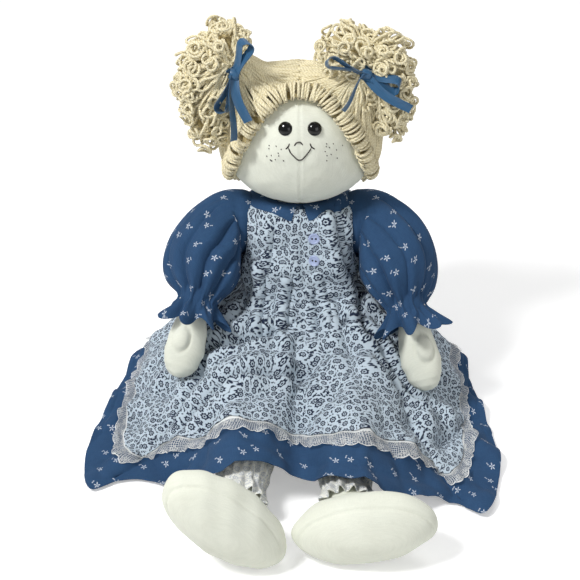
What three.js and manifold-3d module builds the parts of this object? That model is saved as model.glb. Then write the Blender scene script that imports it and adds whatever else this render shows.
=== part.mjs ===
// Seated rag doll: a stuffed muslin body with jointed limbs, yarn hair in two tied bunches, and a
// sprigged calico dress under a flower-print pinafore.
// Millimetres, +Z up, the doll sits on z = 0 and faces -Y. Left and right are the doll's own.
import * as THREE from "three";
import { mergeVertices } from "three/addons/utils/BufferGeometryUtils.js";
import Module from "manifold-3d";

const wasm = await Module();
wasm.setup();

// Cloth, seams and clearances
const GAP = 0.35; // between two pieces that touch
const LOOSE = 0.8; // between a loose trim and the cloth below it
const CLOTH = 1.4; // a sewn layer of dress, pinafore or pantaloons
const OVERRUN = 5; // how far a cutter runs past what it cuts

// Torso and neck
const TORSO_HEIGHT = 199;
const TORSO_WIDTH = 128;
const TORSO_DEPTH = 100;
const TORSO_LEAN = 12; // how far the neck sits behind the middle of the seat
const NECK_WIDTH = 37;
const NECK_RISE = 6;
const NECK_SUNK = 5.5; // how far the neck reaches up into the head

// Head
const HEAD_WIDTH = 144;
const HEAD_DEPTH = 124;
const HEAD_HEIGHT = 140;
const HEAD_POWER = 2.25;

// Eyes
const EYE_DIAMETER = 13.6;
const EYE_SPACING = 27.6;
const EYE_RISE = 27; // above the middle of the head
const EYE_DOME = 4.6;
const SHANK_DIAMETER = 4;
const SHANK_LENGTH = 11;
const WASHER_DIAMETER = 15;
const WASHER_THICKNESS = 2;
const WASHER_DEPTH = 6; // below the cloth

// Arms
const SHOULDER_HEIGHT = 170;
const SHOULDER_BACK = 8;
const ARM_OUT = 71; // from the shoulder to the finger tips
const ARM_FORWARD = 110;
const ARM_DROP = 117;
const ARM_WIDTH = 40;
const THUMB_LENGTH = 27;
const THUMB_WIDTH = 13;

// Legs
const HIP_HEIGHT = 30;
const HIP_SPACING = 74;
const HIP_SEAM = 6; // thickness of the flat seam that the leg swings on
const THIGH_WIDTH = 62;
const LEG_LENGTH = 208; // hip seam to ankle
const FOOT_LENGTH = 128;
const FOOT_HEIGHT = 66;
const FOOT_THICKNESS = 56;
const FOOT_REACH = 38; // ankle to the middle of the foot

// Hair
const HAIR_THICKNESS = 7;
const FRINGE_WIDTH = 17;
const FACE_WIDTH = 134;
const FACE_RISE = 50; // hairline above the middle of the head
const FACE_DROP = 40; // end of the fringe below the middle of the head
const NAPE_DROP = 44;
const TIE_SPACING = 128;
const TIE_RISE = 80; // above the middle of the head
const TIE_FORWARD = 24; // in front of the middle of the head
const TIE_DIAMETER = 28.4;
const TIE_CORD = 4.4;
const BUNCH_ROOT = 18; // gathered yarn inside the tie
const BUNCH_WAIST = 13;
const BUNCH_HEIGHT = 132;
const BUNCH_WIDTH = 80;
const BUNCH_DEPTH = 70;
const GATHER_WIDTH = 84; // foot of the combed strands that rise to a tie

// Ribbon
const RIBBON_WIDTH = 9;
const RIBBON_THICKNESS = 0.8;
const BOW_LOOP = 36;
const BOW_TAIL = 60;
const KNOT_WIDTH = 10;

// Dress and pinafore
const DRESS_NECK_HEIGHT = 199;
const WAIST_HEIGHT = 105;
const SKIRT_WIDTH = 400;
const SKIRT_FRONT = 262; // from the middle of the seat to the front hem
const LAP_RISE = 77;
const HEM_CLEARANCE = 2.2;
const FOLD_HEIGHT = 6;
const ARMHOLE_WIDTH = 56;
const PINAFORE_ARMHOLE_WIDTH = 76;
const PINAFORE_ARMHOLE_INSET = 96; // between the two armhole edges across the chest
const SLEEVE_HEAD_WIDTH = 66;
const SLEEVE_WIDTH = 86;
const RUFFLE_WIDTH = 62;
const ELASTIC_CORD = 2;
const COLLAR_STAND = 4; // above the dress, over the pinafore's edge
const BUTTON_DIAMETER = 11.6;
const BUTTON_THICKNESS = 2.4;
const BUTTON_HOLE = 1.7;
const BUTTON_HOLE_SPACING = 3.6;

// Pantaloons
const CUFF_RUFFLE = 7; // how far the ruffle stands out round the ankle

// Facets
const COLUMNS = 36; // round the clothes
const BODY_SIDES = 20;
const LIMB_SIDES = 12;
const HEAD_SIDES = 20;
const HEAD_LEVELS = 10;
const SLEEVE_SIDES = 16;
const SMALL_SIDES = 12; // eyes, washers, ties and strands
const ROOM_SIDES = 12; // round the room that is kept free of a bunch
const FACET_TOLERANCE = 0.12; // how far a surface may move when its facets are merged

const COLOURS = {
  muslin: 0xe6e6dc,
  yarn: 0xddd0a6,
  blue: 0x3f6390,
  print: 0xc3cad3,
  lace: 0xd9dad8,
  satin: 0x2f5d80,
  black: 0x0b0b0c,
  button: 0xb4bbe0,
  white: 0xeeeeea,
};

const V = (x, y, z) => new THREE.Vector3(x, y, z);
const TORSO_BASE = CLOTH + GAP;
const HEAD_CENTRE = V(0, TORSO_LEAN, TORSO_HEIGHT + NECK_RISE - NECK_SUNK + HEAD_HEIGHT / 2);

// Solids

// A BufferGeometry from points and triangles, turned so that its faces point out.
function closed(points, triangles) {
  let volume = 0;
  for (const [a, b, c] of triangles) {
    volume += points[a].dot(points[b].clone().cross(points[c]));
  }
  const index = volume < 0 ? triangles.map(([a, b, c]) => [a, c, b]) : triangles;
  const geometry = new THREE.BufferGeometry().setFromPoints(points);
  geometry.setIndex(index.flat());
  return geometry;
}

// Joins rings of equal length into one skin and closes both ends; a ring of one point is a pole.
function loft(rings) {
  const points = [];
  const starts = [];
  const triangles = [];
  const sides = Math.max(...rings.map((ring) => ring.length));
  for (const ring of rings) {
    starts.push(points.length);
    points.push(...ring);
  }
  const at = (row, k) => starts[row] + (rings[row].length === 1 ? 0 : k % sides);
  for (let row = 0; row + 1 < rings.length; row += 1) {
    for (let k = 0; k < sides; k += 1) {
      const [a, b, c, d] = [at(row, k), at(row, k + 1), at(row + 1, k + 1), at(row + 1, k)];
      if (a !== b) triangles.push([a, b, c]);
      if (c !== d) triangles.push([a, c, d]);
    }
  }
  for (const [row, turn] of [[0, -1], [rings.length - 1, 1]]) {
    if (rings[row].length === 1) continue;
    const centre = V(0, 0, 0);
    rings[row].forEach((point) => centre.add(point));
    points.push(centre.divideScalar(sides));
    for (let k = 0; k < sides; k += 1) {
      const pair = turn > 0 ? [at(row, k), at(row, k + 1)] : [at(row, k + 1), at(row, k)];
      triangles.push([...pair, points.length - 1]);
    }
  }
  return closed(points, triangles);
}

// A layer of cloth between two grids of points, a closed band when its columns run all round.
function layer(outer, inner, round) {
  const rows = outer.length;
  const columns = outer[0].length;
  const points = [...outer.flat(), ...inner.flat()];
  const at = (side, row, column) => side * rows * columns + row * columns + (column % columns);
  const triangles = [];
  const quad = (a, b, c, d) => triangles.push([a, b, c], [a, c, d]);
  const span = round ? columns : columns - 1;
  for (let row = 0; row + 1 < rows; row += 1) {
    for (let column = 0; column < span; column += 1) {
      quad(at(0, row, column), at(0, row, column + 1), at(0, row + 1, column + 1), at(0, row + 1, column));
      quad(at(1, row, column), at(1, row + 1, column), at(1, row + 1, column + 1), at(1, row, column + 1));
    }
  }
  for (let column = 0; column < span; column += 1) {
    quad(at(0, 0, column), at(1, 0, column), at(1, 0, column + 1), at(0, 0, column + 1));
    quad(at(0, rows - 1, column), at(0, rows - 1, column + 1), at(1, rows - 1, column + 1), at(1, rows - 1, column));
  }
  for (let row = 0; row + 1 < rows && !round; row += 1) {
    quad(at(0, row, 0), at(0, row + 1, 0), at(1, row + 1, 0), at(1, row, 0));
    quad(at(0, row, span), at(1, row, span), at(1, row + 1, span), at(0, row + 1, span));
  }
  return closed(points, triangles);
}

function toSolid(geometry) {
  const bare = new THREE.BufferGeometry();
  bare.setAttribute("position", geometry.getAttribute("position").clone());
  if (geometry.index) bare.setIndex(geometry.index.clone());
  const merged = mergeVertices(bare, 1e-3);
  const mesh = new wasm.Mesh({
    numProp: 3,
    vertProperties: new Float32Array(merged.attributes.position.array),
    triVerts: new Uint32Array(merged.index.array),
  });
  return new wasm.Manifold(mesh);
}

function fromSolid(solid) {
  const mesh = solid.getMesh();
  const geometry = new THREE.BufferGeometry();
  geometry.setAttribute("position", new THREE.BufferAttribute(Float32Array.from(mesh.vertProperties), 3));
  geometry.setIndex(Array.from(mesh.triVerts));
  return geometry;
}

// Cutting and joining leave slivers, so the result is simplified within a tolerance.
const cut = (geometry, ...tools) =>
  fromSolid(tools.reduce((solid, tool) => solid.subtract(toSolid(tool)), toSolid(geometry)).simplify(FACET_TOLERANCE));
const join = (...geometries) =>
  fromSolid(geometries.map(toSolid).reduce((sum, solid) => sum.add(solid)).simplify(FACET_TOLERANCE));

// Signed power: the shape of a superellipse, squarer as the power grows.
const bulge = (value, power) => Math.sign(value) * Math.abs(value) ** (2 / power);

// A closed section round a centre, with half axes u and v given as vectors.
function section(centre, u, v, power = 2, sides = LIMB_SIDES) {
  return Array.from({ length: sides }, (_, k) => {
    const angle = (2 * Math.PI * k) / sides;
    const point = centre.clone().addScaledVector(u, bulge(Math.cos(angle), power));
    return point.addScaledVector(v, bulge(Math.sin(angle), power));
  });
}

// A level section of body or dress; column 0 is the middle of the front and columns run to the left.
function levelSection(halfWidth, halfDepth, y, z, power, sides = COLUMNS) {
  return Array.from({ length: sides }, (_, k) => {
    const angle = (2 * Math.PI * k) / sides;
    return V(halfWidth * bulge(Math.sin(angle), power), y - halfDepth * bulge(Math.cos(angle), power), z);
  });
}

const mix = THREE.MathUtils.lerp;
const ease = (value, from, to) => THREE.MathUtils.smoothstep(value, from, to);

const mirrored = (side, point) => V(side * point.x, point.y, point.z);

const doll = new THREE.Group();
doll.name = "rag_doll";

function add(name, geometry, colour, roughness = 0.9, metalness = 0) {
  const material = new THREE.MeshStandardMaterial({ color: colour, roughness, metalness });
  const mesh = new THREE.Mesh(geometry, material);
  mesh.name = name;
  doll.add(mesh);
  return geometry;
}

// Torso: rows of height, width, depth and lean shares with the squareness of the section.
const torsoShares = [
  [0, 0.8, 0.74, 0, 3.2],
  [0.022, 0.93, 0.92, 0, 3.4],
  [0.09, 1, 1, 0, 3.6],
  [0.22, 1, 1, 0, 3.6],
  [0.37, 0.97, 0.96, 0.05, 3.2],
  [0.52, 0.84, 0.88, 0.25, 2.8],
  [0.68, 0.8, 0.8, 0.5, 2.6],
  [0.84, 0.8, 0.72, 0.68, 2.6],
  [0.915, 0.7, 0.6, 0.84, 2.4],
  [0.957, 0.54, 0.5, 0.92, 2.2],
  [0.99, 0.36, 0.4, 1, 2],
];
const chestShare = 0.8; // the torso's width between the shoulders

function torsoRings(extra, from, to) {
  const sides = BODY_SIDES;
  return torsoShares.slice(from, to).map(([height, width, depth, lean, power]) =>
    levelSection(
      (width * TORSO_WIDTH) / 2 + extra,
      (depth * TORSO_DEPTH) / 2 + extra,
      lean * TORSO_LEAN,
      TORSO_BASE + height * (TORSO_HEIGHT - TORSO_BASE),
      power,
      sides,
    ),
  );
}

function buildTorso() {
  const neck = [0, NECK_RISE].map((rise) =>
    levelSection(NECK_WIDTH / 2, NECK_WIDTH / 2, TORSO_LEAN, TORSO_HEIGHT + rise, 2, BODY_SIDES),
  );
  add("torso", loft([...torsoRings(0, 0, torsoShares.length), ...neck]), COLOURS.muslin);
}

// Head: an upright ball, fuller in the cheeks than at the crown.
const headHalfWidth = HEAD_WIDTH / 2;
const headHalfDepth = HEAD_DEPTH / 2;
const headHalfHeight = HEAD_HEIGHT / 2;
const crownShare = 0.82; // height of the crown above the middle, against the chin below it
const cheekShares = [0.03, -0.02]; // extra width at the cheeks and less at the crown

// Half height of the head on the side of its middle that a rise lies on.
const headRise = (rise, extra) => (rise > 0 ? crownShare : 1) * headHalfHeight + extra;

function headRadiusShare(rise) {
  const level = THREE.MathUtils.clamp(rise, -1, 1);
  const round = (1 - Math.abs(level) ** HEAD_POWER) ** (1 / HEAD_POWER);
  return round * (1 + (level < 0 ? cheekShares[0] : cheekShares[1]) * Math.abs(level));
}

function headForm(extra, sides = HEAD_SIDES, levels = HEAD_LEVELS) {
  const rings = [[HEAD_CENTRE.clone().setZ(HEAD_CENTRE.z - headHalfHeight - extra)]];
  for (let k = 1; k < levels; k += 1) {
    const level = -Math.cos((Math.PI * k) / levels);
    const share = headRadiusShare(level);
    const centre = HEAD_CENTRE.clone().setZ(HEAD_CENTRE.z + level * headRise(level, extra));
    rings.push(
      section(
        centre,
        V(share * (headHalfWidth + extra), 0, 0),
        V(0, share * (headHalfDepth + extra), 0),
        2,
        sides,
      ),
    );
  }
  rings.push([HEAD_CENTRE.clone().setZ(HEAD_CENTRE.z + headRise(1, extra))]);
  return loft(rings);
}

// The front of the head at a place across and above its middle.
function facePoint(across, rise, extra = 0) {
  const share = headRadiusShare(rise / headRise(rise, extra));
  const sideways = Math.min(Math.abs(across) / (share * (headHalfWidth + extra)), 0.995);
  const forward = share * (headHalfDepth + extra) * Math.sqrt(1 - sideways ** 2);
  return V(HEAD_CENTRE.x + across, HEAD_CENTRE.y - forward, HEAD_CENTRE.z + rise);
}

// The outward direction at that place, from its neighbours on the surface.
function faceNormal(across, rise) {
  const step = EYE_DIAMETER / 4;
  const right = facePoint(across + step, rise).sub(facePoint(across - step, rise));
  const up = facePoint(across, rise + step).sub(facePoint(across, rise - step));
  return right.cross(up).normalize();
}

function lathe(profile, sides) {
  return new THREE.LatheGeometry(
    profile.map(([radius, height]) => new THREE.Vector2(radius, height)),
    sides,
  );
}

// Turns a form built along +Y to stand at a point along a direction.
function placed(geometry, at, direction) {
  const turn = new THREE.Quaternion().setFromUnitVectors(V(0, 1, 0), direction);
  return geometry.applyQuaternion(turn).translate(at.x, at.y, at.z);
}

function buildHeadAndEyes() {
  const sides = SMALL_SIDES;
  const neckTop = TORSO_HEIGHT + NECK_RISE;
  const socketHeight = neckTop + GAP - (HEAD_CENTRE.z - headHalfHeight) + OVERRUN;
  const socket = new THREE.CylinderGeometry(NECK_WIDTH / 2 + GAP, NECK_WIDTH / 2 + GAP, socketHeight, BODY_SIDES);
  socket.rotateX(Math.PI / 2).translate(0, TORSO_LEAN, neckTop + GAP - socketHeight / 2);
  const pockets = [socket];
  for (const [side, name] of [[1, "left"], [-1, "right"]]) {
    const across = (side * EYE_SPACING) / 2;
    const at = facePoint(across, EYE_RISE);
    const direction = faceNormal(across, EYE_RISE);
    const eyeRadius = EYE_DIAMETER / 2;
    const shank = SHANK_DIAMETER / 2;
    const seat = LOOSE;
    const dome = Array.from({ length: 5 }, (_, k) => {
      const angle = (Math.PI / 2) * (k / 5);
      return [eyeRadius * Math.cos(angle), seat + EYE_DOME * Math.sin(angle)];
    });
    const eye = [[0, -SHANK_LENGTH], [shank, -SHANK_LENGTH], [shank, seat], ...dome, [0, seat + EYE_DOME]];
    add(`eye_${name}`, placed(lathe(eye, sides), at, direction), COLOURS.black, 0.08);
    const bore = shank + GAP;
    const top = -WASHER_DEPTH;
    const low = top - WASHER_THICKNESS;
    const washerRadius = WASHER_DIAMETER / 2;
    const ring = [[bore, low], [washerRadius, low], [washerRadius, top], [bore, top], [bore, low]];
    add(`eye_washer_${name}`, placed(lathe(ring, sides), at, direction), COLOURS.white, 0.5);
    const room = washerRadius + GAP;
    const pocket = [
      [0, -SHANK_LENGTH - GAP],
      [bore, -SHANK_LENGTH - GAP],
      [bore, low - GAP],
      [room, low - GAP],
      [room, top + GAP],
      [bore, top + GAP],
      [bore, OVERRUN],
      [0, OVERRUN],
    ];
    pockets.push(placed(lathe(pocket, sides), at, direction));
  }
  add("head", cut(headForm(0), ...pockets), COLOURS.muslin);
}

// Limbs: rows of place along the limb with half width and half thickness shares.
const armPathShares = [
  [0, 0, 0],
  [0.3, -0.02, -0.02],
  [0.6, -0.3, -0.2],
  [0.73, -0.66, -0.42],
  [0.86, -0.86, -0.72],
  [1, -1, -1],
];
const leftArmReachShare = 1.08; // the left hand lies further down the lap than the right one
const wristShare = 0.66;
const wristPlaceShare = 0.6;
const armShares = [
  [0, 0.94, 0.94, 2],
  [0.1, 1, 1, 2],
  [0.3, 0.96, 0.96, 2],
  [0.46, 0.8, 0.8, 2],
  [wristPlaceShare, wristShare, wristShare, 2],
  [0.66, 0.68, 0.6, 2.1],
  [0.72, 0.82, 0.62, 2.3],
  [0.79, 0.95, 0.64, 2.4],
  [0.86, 1, 0.66, 2.4],
  [0.93, 0.86, 0.58, 2.3],
  [0.98, 0.5, 0.36, 2.2],
];

const shoulderHalf = (chestShare * TORSO_WIDTH) / 2 + GAP;

function shoulderPoint(side) {
  return V(side * shoulderHalf, SHOULDER_BACK, SHOULDER_HEIGHT);
}

function armCurve(side) {
  const start = shoulderPoint(1);
  const reach = side > 0 ? leftArmReachShare : 1;
  const points = armPathShares.map(([across, forward, down]) => {
    const way = V(across * reach * ARM_OUT, forward * reach * ARM_FORWARD, down * reach * ARM_DROP);
    return mirrored(side, start.clone().add(way));
  });
  return new THREE.CatmullRomCurve3(points, false, "catmullrom");
}

// Keeps a ring's points outside an upright plane beside the body.
const outside = (ring, side, plane) =>
  ring.map((point) => V(side * Math.max(side * point.x, plane), point.y, point.z));

// The section across a curve, with u to the doll's front and v square to it.
function acrossCurve(curve, place) {
  const tangent = curve.getTangentAt(place);
  const v = tangent.clone().cross(V(0, 1, 0)).normalize();
  const u = v.clone().cross(tangent).normalize();
  return { centre: curve.getPointAt(place), u, v };
}

function buildArm(side, name) {
  const curve = armCurve(side);
  const rings = armShares.map(([place, width, thickness, power]) => {
    const { centre, u, v } = acrossCurve(curve, place);
    const half = ARM_WIDTH / 2;
    const ring = section(centre, v.multiplyScalar(width * half), u.multiplyScalar(thickness * half), power);
    return outside(ring, side, shoulderHalf);
  });
  rings.push([curve.getPointAt(1)]);
  const thumb = new THREE.SphereGeometry(1, 12, 8);
  thumb.scale(THUMB_WIDTH / 2, THUMB_WIDTH / 2, THUMB_LENGTH / 2).rotateX(-0.5);
  const palm = curve.getPointAt(0.84);
  thumb.translate(palm.x + side * THUMB_WIDTH * 0.5, palm.y - THUMB_WIDTH * 0.75, palm.z);
  add(`arm_${name}`, join(loft(rings), thumb), COLOURS.muslin);
}

// Legs: place along the leg, half width, half thickness and rise of the middle from seam to thigh.
const legShares = [
  [-0.019, 0.66, 0.03, 0],
  [-0.009, 0.74, 0.075, 0],
  [0, 0.78, 0.097, 0],
  [0.04, 0.86, 0.35, 0.1],
  [0.1, 0.95, 0.7, 0.45],
  [0.18, 1, 0.97, 0.95],
  [0.32, 1, 0.98, 1],
  [0.5, 0.92, 0.9, 0.94],
  [0.7, 0.8, 0.78, 0.84],
  [0.87, 0.67, 0.65, 0.7],
  [1, 0.6, 0.6, 0.65],
  [1.1, 0.64, 0.62, 0.67],
];
const hipSeamY = -(TORSO_DEPTH / 2 + CLOTH + 3 * GAP + HIP_SEAM / 2);
// How each foot lies: turn of the toe from upright, and where the ankle and the foot sit.
const legPoses = {
  left: { side: 1, toeTurn: 1.43, ankleShare: 0.2, footShare: 0.6, footForward: 0 },
  right: { side: -1, toeTurn: 0.835, ankleShare: 0.62, footShare: 0.86, footForward: 0.2 },
};

function legSection(pose, row, extra) {
  const [place, width, thickness, rise] = row;
  const half = THIGH_WIDTH / 2;
  const x = HIP_SPACING / 2 + pose.ankleShare * (FOOT_LENGTH / 4) * Math.max(place, 0);
  const lift = mix(HIP_HEIGHT, half + CLOTH + 2 * GAP, Math.min(rise, 1));
  const middle = rise > 0.6 ? half * thickness + CLOTH + 2 * GAP : lift;
  return section(
    V(pose.side * x, hipSeamY - place * LEG_LENGTH, middle),
    V(half * width + extra, 0, 0),
    V(0, 0, half * thickness + extra),
    2.1,
  );
}

// Half the height of the tilted foot, so that its heel just meets the floor.
function footHalfHeight(pose) {
  return Math.hypot((FOOT_LENGTH / 2) * Math.cos(pose.toeTurn), (FOOT_HEIGHT / 2) * Math.sin(pose.toeTurn));
}

function footForm(pose) {
  const form = new THREE.SphereGeometry(1, 16, 10);
  form.scale(FOOT_HEIGHT / 2, FOOT_THICKNESS / 2, FOOT_LENGTH / 2).rotateY(pose.side * pose.toeTurn);
  const reach = hipSeamY - LEG_LENGTH - FOOT_REACH * (1 + pose.footForward);
  const x = HIP_SPACING / 2 + pose.footShare * (FOOT_LENGTH / 4);
  form.translate(pose.side * x, reach + GAP, footHalfHeight(pose));
  return form;
}

function buildLeg(name) {
  const pose = legPoses[name];
  const rings = legShares.map((row) => legSection(pose, row, 0));
  add(`leg_${name}`, join(loft(rings), footForm(pose)), COLOURS.muslin);
}

// Pantaloons: a seat under the torso and a tube round each leg that ends in a ruffle.
function buildPantaloons() {
  const rows = 5;
  const outer = torsoRings(GAP + CLOTH, 0, rows);
  const floor = outer[0].map((point) => V(point.x, point.y, 0));
  const inside = torsoRings(GAP, 0, rows);
  const hollowTop = inside[rows - 1].map((point) => V(point.x, point.y, point.z + OVERRUN));
  const hollowFloor = inside[0].map((point) => V(point.x, point.y, CLOTH));
  const seat = loft([floor, ...outer.slice(1)]);
  const hollow = loft([hollowFloor, ...inside.slice(1, rows - 1), inside[rows - 1], hollowTop]);
  add("pantaloons_seat", cut(seat, hollow), COLOURS.white);
  for (const [name, pose] of Object.entries(legPoses)) {
    const tube = legShares.slice(5, 10);
    const ruffle = [[0.93, 0.64, 0.64, 0.65], [0.99, 0.64, 0.64, 0.65]];
    const flare = [0.35, 1];
    const wave = (ring, row, grow) =>
      ring.map((point, k) => {
        const centre = legSection(pose, row, 0).reduce((sum, p) => sum.add(p), V(0, 0, 0));
        centre.divideScalar(ring.length);
        const away = point.clone().sub(centre).normalize();
        const ripple = grow * CUFF_RUFFLE * (k % 2 ? 1 : 0.72);
        const moved = point.clone().addScaledVector(away, ripple);
        return moved.setZ(Math.max(moved.z, 0));
      });
    const make = (extra) => [
      ...tube.map((row) => legSection(pose, row, extra)),
      ...ruffle.map((row, k) => wave(legSection(pose, row, extra), row, flare[k])),
    ];
    const lifted = (rings, low) => rings.map((ring) => ring.map((p) => V(p.x, p.y, Math.max(p.z, low))));
    add(
      `pantaloons_leg_${name}`,
      layer(lifted(make(GAP + CLOTH), GAP), lifted(make(GAP), GAP + CLOTH), true),
      COLOURS.white,
    );
  }
}

// Dress: one draped surface that every layer of dress, pinafore, lace and collar follows.

// Bodice rows: height, half width, half depth and lean shares, squareness.
const bodiceWidthShare = 0.9;
const bodiceShares = [
  [1, 0.375, 0.46, 1, 2],
  [0.975, 0.66, 0.62, 0.9, 2.4],
  [0.9, 0.86, 0.74, 0.8, 2.8],
  [0.66, 0.9, 0.8, 0.65, 3],
  [0.32, 0.9, 0.9, 0.45, 3],
  [0, bodiceWidthShare, 0.98, 0.25, 3],
];
// Hem in plan, from the middle of the front to the doll's left and round: shares of half the
// skirt's width and of its front reach.
const hemShares = [
  [0, -0.88],
  [0.1, -0.94],
  [0.2, -0.99],
  [0.31, -1],
  [0.44, -0.96],
  [0.6, -0.9],
  [0.73, -0.895],
  [0.85, -0.955],
  [0.94, -0.78],
  [0.965, -0.61],
  [0.93, -0.33],
  [0.89, -0.11],
  [0.81, 0.1],
  [0.68, 0.25],
  [0.42, 0.345],
  [0, 0.375],
  [-0.42, 0.345],
  [-0.71, 0.25],
  [-0.85, 0.08],
  [-0.94, -0.15],
  [-1, -0.38],
  [-1.045, -0.6],
  [-0.995, -0.81],
  [-0.86, -0.77],
  [-0.72, -0.77],
  [-0.5, -0.87],
  [-0.31, -0.92],
  [-0.13, -0.9],
];
// Down the skirt: share of the way from waist to pinafore hem, lace edge and dress hem.
const skirtRowShares = [0.08, 0.19, 0.33, 0.49, 0.66, 0.83, 1];
// The main folds: column share round the skirt, height share, width share, first and last reach.
const foldShares = [
  [-0.225, 1, 0.016, 0.2, 1],
  [-0.17, 0.8, 0.018, 0.1, 0.9],
  [-0.115, 0.7, 0.016, 0, 0.8],
  [-0.06, 0.6, 0.014, 0.35, 1],
  [-0.02, 0.7, 0.012, 0, 0.5],
  [0.055, 0.8, 0.014, 0, 0.75],
  [0.1, 0.9, 0.018, 0.05, 1],
  [0.15, 0.8, 0.016, 0.3, 1],
  [0.205, 1, 0.018, 0.1, 1],
  [0.27, 1, 0.018, 0.15, 1],
  [0.335, 1, 0.016, 0.1, 1],
  [0.4, 1, 0.018, 0.1, 1],
  [0.47, 1, 0.018, 0.1, 1],
  [0.54, 1, 0.018, 0.1, 1],
  [0.605, 1, 0.016, 0.1, 1],
  [0.67, 1, 0.018, 0.15, 1],
  [0.735, 1, 0.016, 0.2, 1],
];

const hemCurve = new THREE.CatmullRomCurve3(
  hemShares.map(([across, along]) => V((across * SKIRT_WIDTH) / 2, along * SKIRT_FRONT, 0)),
  true,
  "catmullrom",
);

// The cloth over the lap: full over both legs, with a dip between them that deepens to the ankles,
// and a slope from each leg's outer side to the floor.
function lapHeight(x, y) {
  const along = THREE.MathUtils.clamp((-y - TORSO_DEPTH / 2) / LEG_LENGTH, 0, 1.4);
  const crown = mix(1, 0.72, Math.min(along, 1));
  const edge = mix(0.9, 0.78, Math.min(along, 1)) * HIP_SPACING;
  const run = mix(1.62, 1.02, Math.min(along, 1)) * HIP_SPACING;
  const beyond = THREE.MathUtils.clamp((Math.abs(x) - edge) / run, 0, 1);
  const dip = mix(0.08, 0.62, along ** 1.6) * Math.exp(-((x / (HIP_SPACING * 0.3)) ** 2));
  const behind = ease(-y, -TORSO_DEPTH * 0.45, TORSO_DEPTH * 0.35);
  return LAP_RISE * crown * (1 - beyond) ** 1.6 * (1 - dip) * behind;
}

function foldLift(column, reach) {
  const turn = column / COLUMNS;
  return foldShares.reduce((sum, [at, height, width, first, last]) => {
    let apart = Math.abs(turn - at);
    apart = Math.min(apart, 1 - apart);
    const along = ease(reach, first - 0.12, first + 0.12) * (1 - ease(reach, last, last + 0.15));
    return sum + height * FOLD_HEIGHT * along * Math.exp(-((apart / width) ** 2));
  }, 0);
}

// How far down its column the pinafore's hem and the lace's edge reach, in front and at the back.
function pinaforeReach(column) {
  const front = (1 + Math.cos((2 * Math.PI * column) / COLUMNS)) / 2;
  return mix(0.86, 0.74, front ** 0.7);
}
const laceReach = (column) => pinaforeReach(column) + 0.075;

function drapedRows() {
  const neckToWaist = DRESS_NECK_HEIGHT - WAIST_HEIGHT;
  const bodice = bodiceShares.map(([height, width, depth, lean, power]) =>
    levelSection(
      (width * TORSO_WIDTH) / 2,
      (depth * TORSO_DEPTH) / 2,
      lean * TORSO_LEAN,
      WAIST_HEIGHT + height * neckToWaist,
      power,
    ),
  );
  const waist = bodice[bodice.length - 1];
  const hem = Array.from({ length: COLUMNS }, (_, k) => hemCurve.getPointAt(k / COLUMNS));
  const reaches = (column) => [
    ...skirtRowShares.map((share) => share * pinaforeReach(column)),
    laceReach(column),
    1,
  ];
  const rows = reaches(0).map((_, row) =>
    waist.map((top, column) => {
      const reach = reaches(column)[row];
      const x = mix(top.x, hem[column].x, reach);
      const y = mix(top.y, hem[column].y, reach);
      const turned = Math.cos((2 * Math.PI * column) / COLUMNS);
      const steep = mix(1.15, 5.5, ease(turned, -0.5, 0.9));
      const hang = (1 - reach) ** steep;
      const lap = lapHeight(x, y) * (1 - hang);
      return V(x, y, WAIST_HEIGHT * hang + lap);
    }),
  );
  return [...bodice, ...rows];
}

function surfaceNormals(rows) {
  return rows.map((row, r) =>
    row.map((_, c) => {
      const count = row.length;
      const across = row[(c + 1) % count].clone().sub(row[(c + count - 1) % count]);
      const above = rows[Math.max(r - 1, 0)][c];
      const below = rows[Math.min(r + 1, rows.length - 1)][c];
      return below.clone().sub(above).cross(across).normalize();
    }),
  );
}

const waistRow = bodiceShares.length - 1;
const pinaforeHemRow = waistRow + skirtRowShares.length;
const laceRow = pinaforeHemRow + 1;
const hemRow = laceRow + 1;

const draped = drapedRows();
const flatNormals = surfaceNormals(draped);
draped.forEach((row, r) =>
  row.forEach((point, c) => {
    if (r <= waistRow) return;
    const reach = (r - waistRow) / (hemRow - waistRow);
    point.addScaledVector(flatNormals[r][c], foldLift(c, reach));
    point.setZ(Math.max(point.z, HEM_CLEARANCE));
  }),
);
const drapedNormals = surfaceNormals(draped);

// Points of the draped surface, raised by an offset, for rows and columns of it.
function raised(offset, fromRow, toRow, fromColumn, toColumn) {
  const grid = [];
  for (let r = fromRow; r <= toRow; r += 1) {
    const line = [];
    for (let c = fromColumn; c <= toColumn; c += 1) {
      const column = (c + COLUMNS) % COLUMNS;
      line.push(draped[r][column].clone().addScaledVector(drapedNormals[r][column], offset));
    }
    grid.push(line);
  }
  return grid;
}

function cloth(low, high, fromRow, toRow, fromColumn = 0, toColumn = COLUMNS - 1) {
  const round = toColumn - fromColumn === COLUMNS - 1;
  const outer = raised(high, fromRow, toRow, fromColumn, toColumn);
  const inner = raised(low, fromRow, toRow, fromColumn, toColumn);
  return { outer, inner, round };
}

// Draws the first or last row or column of a cloth back by a gap, so that two panels only meet.
function drawnBack(sheet, { top = 0, bottom = 0, start = 0, end = 0 }) {
  for (const grid of [sheet.outer, sheet.inner]) {
    const last = grid.length - 1;
    const towards = (point, next, by) => point.addScaledVector(next.clone().sub(point).normalize(), by);
    if (top) grid[0].forEach((point, c) => towards(point, grid[1][c], top));
    if (bottom) grid[last].forEach((point, c) => towards(point, grid[last - 1][c], bottom));
    if (start) grid.forEach((line) => towards(line[0], line[1], start));
    if (end) grid.forEach((line) => towards(line[line.length - 1], line[line.length - 2], end));
  }
  return layer(sheet.outer, sheet.inner, sheet.round);
}

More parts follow.
